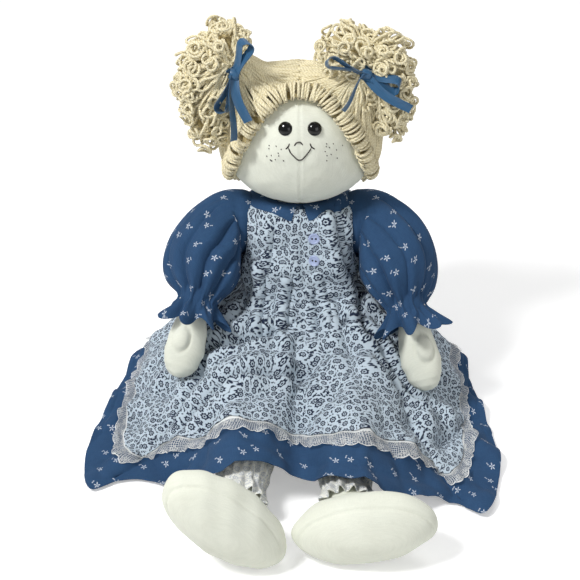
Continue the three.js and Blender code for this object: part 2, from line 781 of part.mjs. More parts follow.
// A bar across the shoulders: what an armhole is cut with. It starts outside the given width.
function armholeCutter(diameter, fromWidth) {
  const reach = SKIRT_WIDTH;
  const bars = [1, -1].map((side) => {
    const bar = new THREE.CylinderGeometry(diameter / 2, diameter / 2, reach, BODY_SIDES);
    bar.rotateZ(Math.PI / 2).translate(side * (fromWidth / 2 + reach / 2), SHOULDER_BACK, SHOULDER_HEIGHT);
    return bar;
  });
  return bars;
}

const dressLow = 0;
const dressHigh = CLOTH;
const pinaforeLow = CLOTH + GAP + GAP / 2;
const pinaforeHigh = pinaforeLow + CLOTH;

function buildDress() {
  const sleeveFace = bodiceWidthShare * TORSO_WIDTH + 2 * (pinaforeHigh + GAP);
  const bodice = drawnBack(cloth(dressLow, dressHigh, 0, waistRow), { bottom: GAP });
  const reach = SKIRT_WIDTH;
  const beside = [1, -1].map((side) => {
    const block = new THREE.BoxGeometry(reach, reach, TORSO_HEIGHT - WAIST_HEIGHT);
    const low = SHOULDER_HEIGHT - SLEEVE_HEAD_WIDTH / 2 - OVERRUN;
    block.translate(side * ((bodiceWidthShare * TORSO_WIDTH) / 2 + CLOTH + reach / 2), 0, low + (TORSO_HEIGHT - WAIST_HEIGHT) / 2);
    return block;
  });
  add("dress_bodice", cut(bodice, ...armholeCutter(ARMHOLE_WIDTH, 0), ...beside), COLOURS.blue);
  add("dress_skirt", drawnBack(cloth(dressLow, dressHigh, waistRow, hemRow), {}), COLOURS.blue);
  for (const [side, name] of [[1, "left"], [-1, "right"]]) buildSleeve(side, name, sleeveFace / 2);
}

// Sleeve: place along the arm and half width shares, from the head over the puff to the gather.
const sleeveShares = [
  [0.06, 1, 0],
  [0.12, 1.12, 0],
  [0.2, 1.27, 0],
  [0.3, 1.33, 0],
  [0.41, 1.24, 0],
  [0.5, 1, 0],
  [0.56, 0.7, 0],
  [wristPlaceShare, 0, 0],
  [0.635, 0, 0.55],
  [0.69, 0, 1],
];

function buildSleeve(side, name, face) {
  const curve = armCurve(side);
  const seam = (bodiceWidthShare * TORSO_WIDTH) / 2 + CLOTH + GAP;
  const head = SLEEVE_HEAD_WIDTH / 2;
  const puff = SLEEVE_WIDTH / SLEEVE_HEAD_WIDTH / 1.33;
  const wrist = (wristShare * ARM_WIDTH) / 2;
  const gather = wrist + 2 * GAP + ELASTIC_CORD + CLOTH;
  const ruffle = RUFFLE_WIDTH / 2;
  const sides = SLEEVE_SIDES;
  const grids = [0, -CLOTH].map((shrink) =>
    sleeveShares.map(([place, width, flare], row) => {
      const { centre, u, v } = acrossCurve(curve, place);
      const full = 1 + (puff - 1) * ease(width, 1, 1.33);
      const beyond = mix(gather, ruffle, flare);
      const radius = width > 0 ? Math.max(width * head * full, gather) : beyond;
      const ring = section(centre, v, u, 2, sides).map((point, k) => {
        const away = point.clone().sub(centre).normalize();
        const pleat = width > 0 && row > 1 ? 0.022 * radius : flare * 0.07 * radius;
        const grow = radius + shrink + pleat * (k % 2 ? 1 : -1);
        return centre.clone().addScaledVector(away, grow);
      });
      if (row === 0) return ring.map((point) => V(side * seam, point.y, point.z));
      return outside(ring, side, face + (shrink < 0 ? CLOTH : 0));
    }),
  );
  add(`sleeve_${name}`, layer(grids[0], grids[1], true), COLOURS.blue);
  const { centre, u, v } = acrossCurve(curve, sleeveShares[7][0]);
  const band = gather - CLOTH - GAP - ELASTIC_CORD / 2;
  const elastic = new THREE.TorusGeometry(band, ELASTIC_CORD / 2, 5, SLEEVE_SIDES);
  const basis = new THREE.Matrix4().makeBasis(u, v, u.clone().cross(v));
  elastic.applyMatrix4(basis.setPosition(centre));
  add(`sleeve_elastic_${name}`, elastic, COLOURS.white);
}

// Collar: two wings that start at the back of the neck and end in points at the front.
function buildCollar() {
  const half = COLUMNS / 2;
  for (const [side, name] of [[1, "left"], [-1, "right"]]) {
    const grids = [COLLAR_STAND + CLOTH, COLLAR_STAND].map((offset) => {
      const lines = [];
      for (let k = 0; k <= half - 1; k += 1) {
        const turn = k / (half - 1);
        const column = 0.4 + turn * (half - 0.8);
        const edge = mix(1.25, 1.5, ease(turn, 0.12, 0.5)) + 0.35 * (1 - ease(turn, 0, 0.12));
        lines.push([0.42, 1, edge].map((row) => drapedPoint(row, side * column, offset)));
      }
      return lines;
    });
    add(`collar_${name}`, layer(grids[0], grids[1], false), COLOURS.blue);
  }
}

// A point of the draped surface between its rows and columns, raised by an offset.
function drapedPoint(row, column, offset) {
  const r = Math.min(Math.floor(row), draped.length - 2);
  const place = ((column % COLUMNS) + COLUMNS) % COLUMNS;
  const c = Math.floor(place) % COLUMNS;
  const next = (c + 1) % COLUMNS;
  const blend = (grid) => {
    const upper = grid[r][c].clone().lerp(grid[r][next], place - Math.floor(place));
    const lower = grid[r + 1][c].clone().lerp(grid[r + 1][next], place - Math.floor(place));
    return upper.lerp(lower, row - r);
  };
  return blend(draped).addScaledVector(blend(drapedNormals).normalize(), offset);
}

// Pinafore: front and back panels that meet at the side seams, with deep armholes, and lace below.
const pinaforeTopRow = 1;
const sideColumn = COLUMNS / 4;

function buildPinafore() {
  const armholes = armholeCutter(PINAFORE_ARMHOLE_WIDTH, PINAFORE_ARMHOLE_INSET);
  const panels = [["front", -sideColumn, sideColumn], ["back", sideColumn, COLUMNS - sideColumn]];
  for (const [name, from, to] of panels) {
    const sheet = cloth(pinaforeLow, pinaforeHigh, pinaforeTopRow, pinaforeHemRow, from, to);
    const panel = drawnBack(sheet, { start: GAP / 2, end: GAP / 2, bottom: GAP });
    add(`pinafore_${name}`, cut(panel, ...armholes), COLOURS.print);
  }
  const trim = cloth(pinaforeLow, pinaforeHigh, pinaforeHemRow, laceRow);
  add("pinafore_lace", drawnBack(trim, {}), COLOURS.lace);
}

// Buttons down the front: place below the neck row and beside the middle column.
const buttonPlaces = { upper: [2.73, 0.72], lower: [3.5, 0.83] };

function buildButtons() {
  for (const [name, [row, column]] of Object.entries(buttonPlaces)) {
    const shape = new THREE.Shape().absarc(0, 0, BUTTON_DIAMETER / 2, 0, 2 * Math.PI, false);
    for (const side of [1, -1]) {
      const hole = new THREE.Path();
      hole.absarc((side * BUTTON_HOLE_SPACING) / 2, 0, BUTTON_HOLE / 2, 0, 2 * Math.PI, true);
      shape.holes.push(hole);
    }
    const disc = new THREE.ExtrudeGeometry(shape, {
      depth: BUTTON_THICKNESS,
      bevelEnabled: false,
      curveSegments: 7,
    });
    disc.rotateX(-Math.PI / 2);
    const seat = drapedPoint(row, column, pinaforeHigh + GAP);
    const direction = drapedPoint(row, column, pinaforeHigh + 2 * GAP).sub(seat).normalize();
    add(`button_${name}`, placed(disc, seat, direction), COLOURS.button, 0.35);
  }
}

// Hair: a cap of yarn round the skull, a fringe of loops, and a bunch beyond each tie.

// Place from the middle of the head to the tie and width of the gathered strands.
const gatherShares = [[0.5, 1], [0.66, 0.86], [0.8, 0.58], [0.92, 0.36], [1, 0.3]];

// The hairline, across and above the middle of the head, as shares of the face opening.
const hairlineShares = [
  [-1, -1],
  [-0.93, -0.5],
  [-0.8, -0.02],
  [-0.66, 0.3],
  [-0.5, 0.62],
  [-0.26, 0.93],
  [0, 1],
  [0.26, 0.93],
  [0.5, 0.62],
  [0.66, 0.3],
  [0.8, -0.02],
  [0.93, -0.5],
  [1, -1],
];

function hairlinePoint(row, outset = 0) {
  const [across, rise] = row;
  const level = rise > 0 ? rise * FACE_RISE : -rise * -FACE_DROP;
  const away = new THREE.Vector2(across * (FACE_WIDTH / 2), level).normalize().multiplyScalar(outset);
  return new THREE.Vector2(across * (FACE_WIDTH / 2) + away.x, level + away.y);
}

const fringeSeat = HAIR_THICKNESS * 0.4; // the middle of the fringe above the face
const fringeLobe = 0.09; // how much fuller than the rest each second part of it is
const fringeStand = fringeSeat + (FRINGE_WIDTH / 2) * (1 + fringeLobe);

function fringeForm(extra, steps = 18) {
  const radius = FRINGE_WIDTH / 2;
  const points = hairlineShares.map((row) => {
    const spot = hairlinePoint(row, radius);
    return facePoint(spot.x, spot.y, fringeSeat);
  });
  const curve = new THREE.CatmullRomCurve3(points, false, "catmullrom");
  const rings = [[curve.getPointAt(0)]];
  for (let k = 0; k <= steps; k += 1) {
    const place = mix(0.008, 0.992, k / steps);
    const tangent = curve.getTangentAt(place);
    const out = curve.getPointAt(place).sub(HEAD_CENTRE).normalize();
    const u = tangent.clone().cross(out).normalize();
    const v = u.clone().cross(tangent).normalize();
    const lobe = k === 0 || k === steps ? 0.7 : 1 + (k % 2 ? fringeLobe : -fringeLobe / 2);
    const half = radius * lobe + extra;
    rings.push(section(curve.getPointAt(place), u.multiplyScalar(half), v.multiplyScalar(half), 2, 6));
  }
  rings.push([curve.getPointAt(1)]);
  return cut(loft(rings), headForm(GAP - extra));
}

function tiePoint(side) {
  return HEAD_CENTRE.clone().add(V((side * TIE_SPACING) / 2, -TIE_FORWARD, TIE_RISE));
}

const tieDirection = (side) => tiePoint(side).sub(HEAD_CENTRE).normalize();

// The strands that leave the skull and narrow towards a tie.
function gatherForm(side, extra) {
  const tie = tiePoint(side);
  const direction = tieDirection(side);
  const u = direction.clone().cross(V(0, 1, 0)).normalize();
  const v = u.clone().cross(direction).normalize();
  const length = tie.distanceTo(HEAD_CENTRE) - (BUNCH_ROOT / 2 + 2 * GAP - extra);
  return loft(
    gatherShares.map(([place, width]) => {
      const half = (width * GATHER_WIDTH) / 2 + extra;
      const at = HEAD_CENTRE.clone().addScaledVector(direction, place * length);
      return section(at, u.clone().multiplyScalar(half), v.clone().multiplyScalar(half), 2, SMALL_SIDES);
    }),
  );
}

const capForm = () => join(headForm(HAIR_THICKNESS), gatherForm(1, 0), gatherForm(-1, 0));

function faceOpening() {
  const points = hairlineShares.map((row) => hairlinePoint(row));
  const low = -HEAD_HEIGHT;
  const outline = [new THREE.Vector2(points[0].x, low), ...points];
  outline.push(new THREE.Vector2(points[points.length - 1].x, low));
  const block = new THREE.ExtrudeGeometry(new THREE.Shape(outline), { depth: HEAD_DEPTH, bevelEnabled: false });
  block.rotateX(Math.PI / 2);
  return block.translate(HEAD_CENTRE.x, HEAD_CENTRE.y - HEAD_DEPTH * 0.08, HEAD_CENTRE.z);
}

function buildHair() {
  const napeCut = new THREE.BoxGeometry(HEAD_WIDTH * 2, HEAD_DEPTH * 2, HEAD_HEIGHT);
  napeCut.translate(0, HEAD_CENTRE.y, HEAD_CENTRE.z - NAPE_DROP - HEAD_HEIGHT / 2);
  const cap = cut(capForm(), headForm(GAP), faceOpening(), napeCut, fringeForm(GAP));
  add("hair_cap", cap, COLOURS.yarn, 0.95);
  add("hair_fringe", fringeForm(0), COLOURS.yarn, 0.95);
  for (const [side, name] of [[1, "left"], [-1, "right"]]) buildBunch(side, name);
}

// Lobes of a bunch: centre from the tie across, forward and up, and half sizes, as shares of the
// bunch's width, depth and height.
const bunchLobeShares = {
  left: [
    [0.2, -0.2, -0.18, 0.44, 0.5, 0.46],
    [-0.22, -0.2, 0.06, 0.46, 0.46, 0.22],
    [0.28, -0.12, -0.36, 0.34, 0.4, 0.3],
  ],
  right: [
    [0.32, -0.2, -0.18, 0.44, 0.5, 0.46],
    [0.06, -0.2, 0.1, 0.32, 0.42, 0.22],
    [0.3, -0.12, -0.42, 0.36, 0.4, 0.3],
  ],
};
const BUNCH_LIFT = 15; // degrees that a bunch can be lifted at its tie

function turnedAtTie(geometry, side, degrees) {
  const tie = tiePoint(side);
  geometry.translate(-tie.x, -tie.y, -tie.z);
  geometry.rotateY(THREE.MathUtils.degToRad(side * degrees));
  return geometry.translate(tie.x, tie.y, tie.z);
}

function buildBunch(side, name) {
  const tie = tiePoint(side);
  const direction = tieDirection(side);
  const lobes = bunchLobeShares[name].map(([across, back, up, width, depth, height]) => {
    const lobe = new THREE.SphereGeometry(1, 12, 8);
    lobe.scale(width * BUNCH_WIDTH, depth * BUNCH_DEPTH, height * BUNCH_HEIGHT);
    return lobe.translate(
      tie.x + side * across * BUNCH_WIDTH,
      tie.y - back * BUNCH_DEPTH,
      tie.z + up * BUNCH_HEIGHT,
    );
  });
  const root = [[0, -BUNCH_ROOT / 2]];
  for (let k = 1; k < 5; k += 1) {
    const angle = (Math.PI * k) / 8;
    root.push([(BUNCH_ROOT / 2) * Math.sin(angle), (-BUNCH_ROOT / 2) * Math.cos(angle)]);
  }
  root.push([BUNCH_WAIST / 2, BUNCH_ROOT / 4], [BUNCH_WAIST / 2, BUNCH_ROOT * 1.6], [0, BUNCH_ROOT * 1.6]);
  const ring = new THREE.TorusGeometry((TIE_DIAMETER - TIE_CORD) / 2, TIE_CORD / 2, 6, SMALL_SIDES);
  ring.rotateX(Math.PI / 2);
  const band = placed(ring.clone(), tie, direction);
  const bow = bowForm(side);
  const flats = 1 / Math.cos(Math.PI / ROOM_SIDES) ** 2 - 1;
  const roomClearance = flats * (headHalfWidth + HAIR_THICKNESS) + GAP;
  const keepOut = [];
  for (const lift of [0, BUNCH_LIFT]) {
    keepOut.push(turnedAtTie(gatherForm(side, roomClearance), side, lift));
    keepOut.push(turnedAtTie(headForm(fringeStand + roomClearance, ROOM_SIDES, ROOM_SIDES / 2), side, lift));
    const room = TIE_DIAMETER + 4 * GAP;
    const collar = new THREE.CylinderGeometry(room / 2, room / 2, TIE_CORD + 3 * GAP, SMALL_SIDES);
    keepOut.push(turnedAtTie(placed(collar, tie, direction), side, lift));
    keepOut.push(turnedAtTie(bowRoom(side), side, lift));
  }
  const lump = cut(join(...lobes), ...keepOut);
  add(`bunch_${name}`, join(lump, placed(lathe(root, SMALL_SIDES), tie, direction)), COLOURS.yarn, 0.95);
  add(`hair_tie_${name}`, band, COLOURS.satin, 0.5);
  add(`bow_${name}`, bow, COLOURS.satin, 0.3);
}

// Bow: a knot in front of the tie, two loops and two tails of one flat ribbon.
function bowCentre(side) {
  const direction = tieDirection(side);
  const front = V(0, -1, 0).addScaledVector(direction, direction.y).normalize();
  return tiePoint(side).addScaledVector(front, TIE_DIAMETER / 2 + GAP + KNOT_WIDTH / 2);
}

// Ways of the ribbon from the knot, across and up as shares of loop or tail, for each bow.
const bowShares = {
  left: { loops: [[-0.98, 0.42], [0.86, -0.3]], tails: [[0.72, -0.5], [-0.42, -0.5]] },
  right: { loops: [[0.36, 0.92], [-0.36, -0.98]], tails: [[0.2, -0.72], [-0.06, -1.02]] },
};

// A flat ribbon along a line of points, as wide as the ribbon in the doll's front direction.
function ribbon(points) {
  const curve = new THREE.CatmullRomCurve3(points, false, "catmullrom");
  const steps = 4;
  const grids = [[], []];
  for (let k = 0; k <= steps; k += 1) {
    const at = curve.getPointAt(k / steps);
    const tangent = curve.getTangentAt(k / steps);
    const wide = V(0, 1, 0).addScaledVector(tangent, -tangent.y).normalize();
    const thick = tangent.clone().cross(wide).normalize();
    for (const side of [0, 1]) {
      const lift = (side - 0.5) * RIBBON_THICKNESS;
      grids[side].push(
        [-0.5, 0.5].map((share) =>
          at.clone().addScaledVector(wide, share * RIBBON_WIDTH).addScaledVector(thick, lift),
        ),
      );
    }
  }
  return layer(grids[1], grids[0], false);
}

function bowForm(side) {
  const name = side > 0 ? "left" : "right";
  const centre = bowCentre(side);
  const knot = new THREE.SphereGeometry(1, 8, 5);
  knot.scale(KNOT_WIDTH / 2, KNOT_WIDTH / 2, KNOT_WIDTH / 2).translate(centre.x, centre.y, centre.z);
  const pieces = [knot];
  for (const [across, up] of bowShares[name].loops) {
    const reach = V(across, -0.12, up).multiplyScalar(BOW_LOOP);
    const square = V(-up, 0, across).multiplyScalar(BOW_LOOP * 0.26);
    const half = [0, 0.5, 0.86].map((share, k) => [share, [0, 0.9, 0.75][k]]);
    const there = half.map(([far, wide]) => centre.clone().addScaledVector(reach, far).addScaledVector(square, wide));
    const back = half.map(([far, wide]) => centre.clone().addScaledVector(reach, far).addScaledVector(square, -wide));
    pieces.push(ribbon([...there, centre.clone().add(reach)]));
    pieces.push(ribbon([...back, centre.clone().add(reach)]));
  }
  for (const [across, up] of bowShares[name].tails) {
    const end = centre.clone().add(V(across, -0.3, up).multiplyScalar(BOW_TAIL));
    const sag = centre.clone().lerp(end, 0.5).add(V(across * KNOT_WIDTH, 0, 0));
    pieces.push(ribbon([centre.clone(), sag, end]));
  }
  return join(...pieces);
}

// The space that the bow takes in front of the bunch.
function bowRoom(side) {
  const centre = bowCentre(side);
  const room = new THREE.CylinderGeometry(BOW_TAIL, BOW_TAIL * 1.1, BOW_TAIL, ROOM_SIDES);
  return room.translate(centre.x, centre.y + RIBBON_WIDTH / 2 + 2 * GAP - BOW_TAIL / 2, centre.z);
}

buildTorso();
buildHeadAndEyes();
for (const [side, name] of [[1, "left"], [-1, "right"]]) buildArm(side, name);
buildLeg("left");
buildLeg("right");
buildPantaloons();
buildDress();
buildCollar();
buildPinafore();
buildButtons();
buildHair();

export default doll;
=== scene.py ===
# %% [markdown]
# # A seated rag doll
# The doll is stuffed muslin with yarn hair, dressed in blue calico and a flower-print pinafore with
# a lace edge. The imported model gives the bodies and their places; everything here is drawn in the
# same frame, in millimetres, and put into meshes in metres.

# %% Load the frame
import math

import bmesh
import bpy
import numpy as np
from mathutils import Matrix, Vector


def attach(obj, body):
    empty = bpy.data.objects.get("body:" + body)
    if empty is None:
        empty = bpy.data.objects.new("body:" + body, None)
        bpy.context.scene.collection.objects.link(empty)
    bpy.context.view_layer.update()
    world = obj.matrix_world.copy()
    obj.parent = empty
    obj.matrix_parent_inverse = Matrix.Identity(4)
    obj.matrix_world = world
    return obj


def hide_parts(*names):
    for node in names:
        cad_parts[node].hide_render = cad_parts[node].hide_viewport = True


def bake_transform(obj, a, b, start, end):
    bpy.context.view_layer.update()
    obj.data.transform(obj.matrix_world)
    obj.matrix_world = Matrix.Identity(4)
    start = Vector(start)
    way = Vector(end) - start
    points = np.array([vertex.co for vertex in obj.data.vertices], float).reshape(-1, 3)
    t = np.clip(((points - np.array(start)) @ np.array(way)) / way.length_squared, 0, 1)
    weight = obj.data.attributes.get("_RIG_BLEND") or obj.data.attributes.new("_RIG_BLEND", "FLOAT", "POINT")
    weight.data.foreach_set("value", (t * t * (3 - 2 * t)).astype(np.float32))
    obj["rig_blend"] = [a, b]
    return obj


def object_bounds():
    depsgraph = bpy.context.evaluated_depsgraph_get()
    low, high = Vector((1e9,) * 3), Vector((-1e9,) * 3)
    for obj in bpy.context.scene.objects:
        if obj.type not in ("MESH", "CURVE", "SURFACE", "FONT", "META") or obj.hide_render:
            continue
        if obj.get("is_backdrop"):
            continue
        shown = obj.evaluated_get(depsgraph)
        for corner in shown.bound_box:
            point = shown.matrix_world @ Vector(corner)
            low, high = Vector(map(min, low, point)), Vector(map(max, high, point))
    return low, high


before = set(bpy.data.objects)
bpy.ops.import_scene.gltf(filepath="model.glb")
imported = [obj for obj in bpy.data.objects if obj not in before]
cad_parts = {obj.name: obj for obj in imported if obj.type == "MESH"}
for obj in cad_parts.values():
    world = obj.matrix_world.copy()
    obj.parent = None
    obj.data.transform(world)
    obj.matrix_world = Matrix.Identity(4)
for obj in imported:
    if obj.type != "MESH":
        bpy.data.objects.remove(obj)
cad_low, cad_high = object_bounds()
print("CAD box in mm:", [round(1000 * v) for v in (*cad_low, *cad_high)])

# %% [markdown]
# ## Camera, light and floor
# The camera stands 1.3 m from the chest and 30 degrees above it, fitted to the doll's features in
# the photograph. The key lamp stands high on the left, a soft fill in front on the right and a third
# lamp high behind, over a white floor.

# %% Set up the studio
PHOTO_SIDE, FOCAL_PIXELS, MIDDLE_SHIFT = 580, 1300, (-10, -28)  # in pixels of the photograph
CHEST, LAMP_AIM = (0, -0.04, 0.15), (0, -0.05, 0.15)
FLOOR_HALF, FLOOR_GLOW = 6.0, 0.35


def aim_at(thing, target):
    """Turns a camera or lamp to look at a point."""
    thing.rotation_euler = (Vector(target) - thing.location).to_track_quat("-Z", "Y").to_euler()


camera = bpy.data.objects.new("camera", bpy.data.cameras.new("camera"))
bpy.context.scene.collection.objects.link(camera)
bpy.context.scene.camera = camera
camera.location = (0, -1.1658, 0.8)
aim_at(camera, CHEST)
camera.data.lens = camera.data.sensor_width * FOCAL_PIXELS / PHOTO_SIDE
camera.data.shift_x, camera.data.shift_y = (shift / PHOTO_SIDE for shift in MIDDLE_SHIFT)
camera.data.clip_end = 50


def lamp(name, place, size, watts):
    """A square area lamp that looks at the doll."""
    made = bpy.data.objects.new(name, bpy.data.lights.new(name, "AREA"))
    made.data.size, made.data.energy = size, watts
    made.location = place
    aim_at(made, LAMP_AIM)
    bpy.context.scene.collection.objects.link(made)


lamp("key", (-1.1, -0.8, 1.8), 0.45, 37)
lamp("fill", (1.2, -1.6, 0.9), 1.2, 7)
lamp("top", (0.3, 0.9, 2.0), 1.0, 12)
world = bpy.data.worlds.new("room")
bpy.context.scene.world = world
world.use_nodes = True
world.node_tree.nodes["Background"].inputs["Color"].default_value = (1, 1, 1, 1)
world.node_tree.nodes["Background"].inputs["Strength"].default_value = 0.32

floor_mesh = bpy.data.meshes.new("floor")
floor_corners = [(x * FLOOR_HALF, y * FLOOR_HALF, 0) for x, y in ((-1, -1), (1, -1), (1, 1), (-1, 1))]
floor_mesh.from_pydata(floor_corners, [], [(0, 1, 2, 3)])
floor = bpy.data.objects.new("floor", floor_mesh)
bpy.context.scene.collection.objects.link(floor)
floor_mesh.materials.append(bpy.data.materials.new("white_floor"))
floor_mesh.materials[0].use_nodes = True
nodes = floor_mesh.materials[0].node_tree.nodes
shader = nodes["Principled BSDF"]
shader.inputs["Base Color"].default_value = (0.9, 0.9, 0.9, 1)
shader.inputs["Roughness"].default_value = 0.9
shader.inputs["Emission Color"].default_value = (1, 1, 1, 1)
seen = nodes.new("ShaderNodeLightPath")
glow = nodes.new("ShaderNodeMath")
glow.operation = "MULTIPLY"
glow.inputs[1].default_value = FLOOR_GLOW
links = floor_mesh.materials[0].node_tree.links
links.new(seen.outputs["Is Camera Ray"], glow.inputs[0])
links.new(glow.outputs[0], shader.inputs["Emission Strength"])
floor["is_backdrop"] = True
bpy.context.scene.view_settings.view_transform = "Standard"

# %% [markdown]
# ## Meshes from grids
# Cloth, stuffed limbs and strands of yarn are all surfaces of two parameters. A grid of points is
# worked out with numpy, and one helper joins its points into quads, gives each corner its place on
# the cloth in millimetres as UV, and closes the ends of a tube where it has to be closed.

# %% Turn a grid of points into a piece
MM = 0.001
HANDS = ((1, "left"), (-1, "right"))  # the doll's left is +X


def grid_faces(rows, columns, wrap):
    """Quads of a grid: corner (r, c) with (r, c + 1), (r + 1, c + 1) and (r + 1, c)."""
    row = np.arange(rows - 1)[:, None]
    column = np.arange(columns if wrap else columns - 1)[None, :]
    after = (column + 1) % columns
    corners = [row * columns + column, row * columns + after]
    corners += [(row + 1) * columns + after, (row + 1) * columns + column]
    return np.stack(np.broadcast_arrays(*corners), -1).reshape(-1, 4)


def corner_uv(uv):
    """UV of each quad's corners; uv has one more column than a wrapped grid of points."""
    parts = [uv[..., :-1, :-1, :], uv[..., :-1, 1:, :], uv[..., 1:, 1:, :], uv[..., 1:, :-1, :]]
    return np.stack(parts, -2).reshape(-1, 2)


def enclosed(points, faces):
    """Signed volume of quads: the sum of a . (b x c) / 6 over both their triangles."""
    a, b, c, d = (points[faces[:, k]] for k in range(4))
    return ((a * np.cross(b, c)).sum() + (a * np.cross(c, d)).sum()) / 6


def make_piece(name, points, polygons, corners, material):
    """A smooth-shaded object in the scene, from points in mm, polygons and UV of their corners."""
    mesh = bpy.data.meshes.new(name)
    mesh.from_pydata(points * MM, [], polygons)
    mesh.uv_layers.new(name="cloth").data.foreach_set("uv", corners.astype(np.float32).ravel())
    mesh.polygons.foreach_set("use_smooth", np.ones(len(mesh.polygons), bool))
    mesh.materials.append(material)
    piece = bpy.data.objects.new(name, mesh)
    bpy.context.scene.collection.objects.link(piece)
    return piece


def surface(name, grid, uv, material, wrap=False, caps=False, turn=False, keep=None):
    """A piece from a grid of points in mm, with its UV in mm; closed forms are turned outwards."""
    rows, columns = grid.shape[:2]
    points = grid.reshape(-1, 3)
    faces = grid_faces(rows, columns, wrap)
    corners = corner_uv(uv).reshape(-1, 4, 2)
    if keep is not None:
        faces, corners = faces[keep], corners[keep]
    flip = turn if not caps else enclosed(points, faces) < 0
    if flip:
        faces, corners = faces[:, ::-1], corners[:, ::-1]
    polygons = faces.tolist()
    corners = corners.reshape(-1, 2)
    if caps:
        ends = [np.arange(columns), np.arange(columns) + (rows - 1) * columns]
        ends = [ends[0][::-1], ends[1]]
        polygons += [(end[::-1] if flip else end).tolist() for end in ends]
        corners = np.concatenate([corners, np.zeros((2 * columns, 2))])
    piece = make_piece(name, points, polygons, corners, material)
    piece.data.validate()
    return piece


def lengths(grid, axis):
    """Distance run along rows or columns of a grid, starting from 0."""
    step = np.linalg.norm(np.diff(grid, axis=axis), axis=-1)
    start = np.zeros_like(np.take(step, [0], axis))
    return np.concatenate([start, np.cumsum(step, axis)], axis)


def tube_uv(grid):
    """UV of a tube or ball: the distance round it and the distance down it."""
    around = np.concatenate([grid, grid[:, :1]], 1)
    return np.stack([lengths(around, 1), lengths(around, 0)], -1)


def ring_angles(count):
    """Angles of points spread evenly round a ring."""
    return 2 * np.pi * np.arange(count) / count


def circle(angle, u, v):
    """cos(angle) u + sin(angle) v."""
    return np.cos(angle)[:, None] * u + np.sin(angle)[:, None] * v


def rings_at(x, y, heights):
    """Grid of level rings: x and y of each ring's points, and the ring's height."""
    return np.stack([x, y, np.broadcast_to(heights[:, None], x.shape)], -1)


def unit_ball(lat, lon):
    """Grid of a ball of radius 1, with its poles along z."""
    flat = np.sin(lat)[:, None]
    return rings_at(flat * np.cos(lon), flat * np.sin(lon), np.cos(lat))


def vertex_values(mesh, key):
    """A row of three for each vertex: its place ("co") or its "normal"."""
    values = np.zeros(len(mesh.vertices) * 3, np.float32)
    mesh.vertices.foreach_get(key, values)
    return values.reshape(-1, 3)


def assign(piece, body, slot, *nodes):
    """Attaches a piece to the body that it rides on (None where it is blended) and hides its CAD nodes; slot
    is not used.
    """
    if body:
        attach(piece, body)
    if nodes:
        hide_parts(*nodes)


def thicken(piece, millimetres, offset=-1.0):
    """Gives a sheet its thickness, inwards from the drawn side, with crisp cut edges."""
    data = piece.data
    used = np.zeros(len(data.loops), np.int32)
    data.loops.foreach_get("edge_index", used)
    cut = np.bincount(used, minlength=len(data.edges)) == 1
    crisp = data.attributes.get("sharp_edge") or data.attributes.new("sharp_edge", "BOOLEAN", "EDGE")
    crisp.data.foreach_set("value", cut)
    wall = piece.modifiers.new("thickness", "SOLIDIFY")
    wall.thickness = millimetres * MM
    wall.offset = offset
    return piece


def cloth_sheet(piece, width):
    """Prints the size of a sheet cut `width` metres wide, as long as the drawn cloth's area makes it."""
    areas = np.zeros(len(piece.data.polygons), np.float32)
    piece.data.polygons.foreach_get("area", areas)
    length = max(float(areas.sum()) / width, 0.01)
    print(f"{piece.name}: cut {1000 * width:.0f} x {1000 * length:.0f} mm")


def unit(vectors):
    """Vectors at a length of 1."""
    return vectors / np.maximum(np.linalg.norm(vectors, axis=-1, keepdims=True), 1e-9)


def smooth_share(value, low, high):
    """Smoothstep: 3t^2 - 2t^3, where t runs from 0 at low to 1 at high."""
    t = np.clip((value - low) / (high - low), 0, 1)
    return t * t * (3 - 2 * t)


def ripples(points, seed, size, count=20):
    """Even, wandering relief: a sum of sine waves about `size` long in random directions."""
    rng = np.random.default_rng(seed)
    ways = unit(rng.normal(size=(count, points.shape[-1])))
    ways *= 2 * np.pi / size * rng.uniform(0.6, 1.5, (count, 1))
    return np.sin(points @ ways.T + rng.uniform(0, 2 * np.pi, count)).sum(-1) / math.sqrt(count / 2)


def curve_through(points, shares, closed=False):
    """Catmull-Rom curve read at shares of its length: a cubic through each pair of points."""
    points = np.asarray(points, float)
    n = len(points)
    if not closed:
        points = np.concatenate([[2 * points[0] - points[1]], points, [2 * points[-1] - points[-2]]])
    spans = n if closed else n - 1
    t = np.linspace(0, spans, 30 * spans + 1)
    i = np.minimum(t.astype(int), spans - 1)
    f = (t - i)[:, None]
    first = -1 if closed else 0
    a, b, c, d = (points[(i + first + k) % len(points)] for k in range(4))
    square, cube = 2 * a - 5 * b + 4 * c - d, 3 * b - a - 3 * c + d
    fine = 0.5 * (2 * b + (c - a) * f + square * f**2 + cube * f**3)
    run = lengths(fine, 0)
    at = np.asarray(shares, float) * run[-1]
    return np.stack([np.interp(at, run, fine[:, k]) for k in range(3)], -1)


# %% [markdown]
# ## Finishes
# Every finish is built from shader nodes. The patterns read UV in millimetres on the clothes, so
# they lie along the cloth, and Object coordinates on the stuffed pieces. A small writer of node
# sums keeps each finish short: it takes numbers or sockets and gives back a socket.

# %% Write sums in nodes


def linear(red, green, blue):
    """An sRGB colour from 0 to 255, as the linear colour that a shader takes."""
    values = np.array([red, green, blue]) / 255
    low, high = values / 12.92, ((values + 0.055) / 1.055) ** 2.4
    return (*np.where(values <= 0.04045, low, high).tolist(), 1.0)


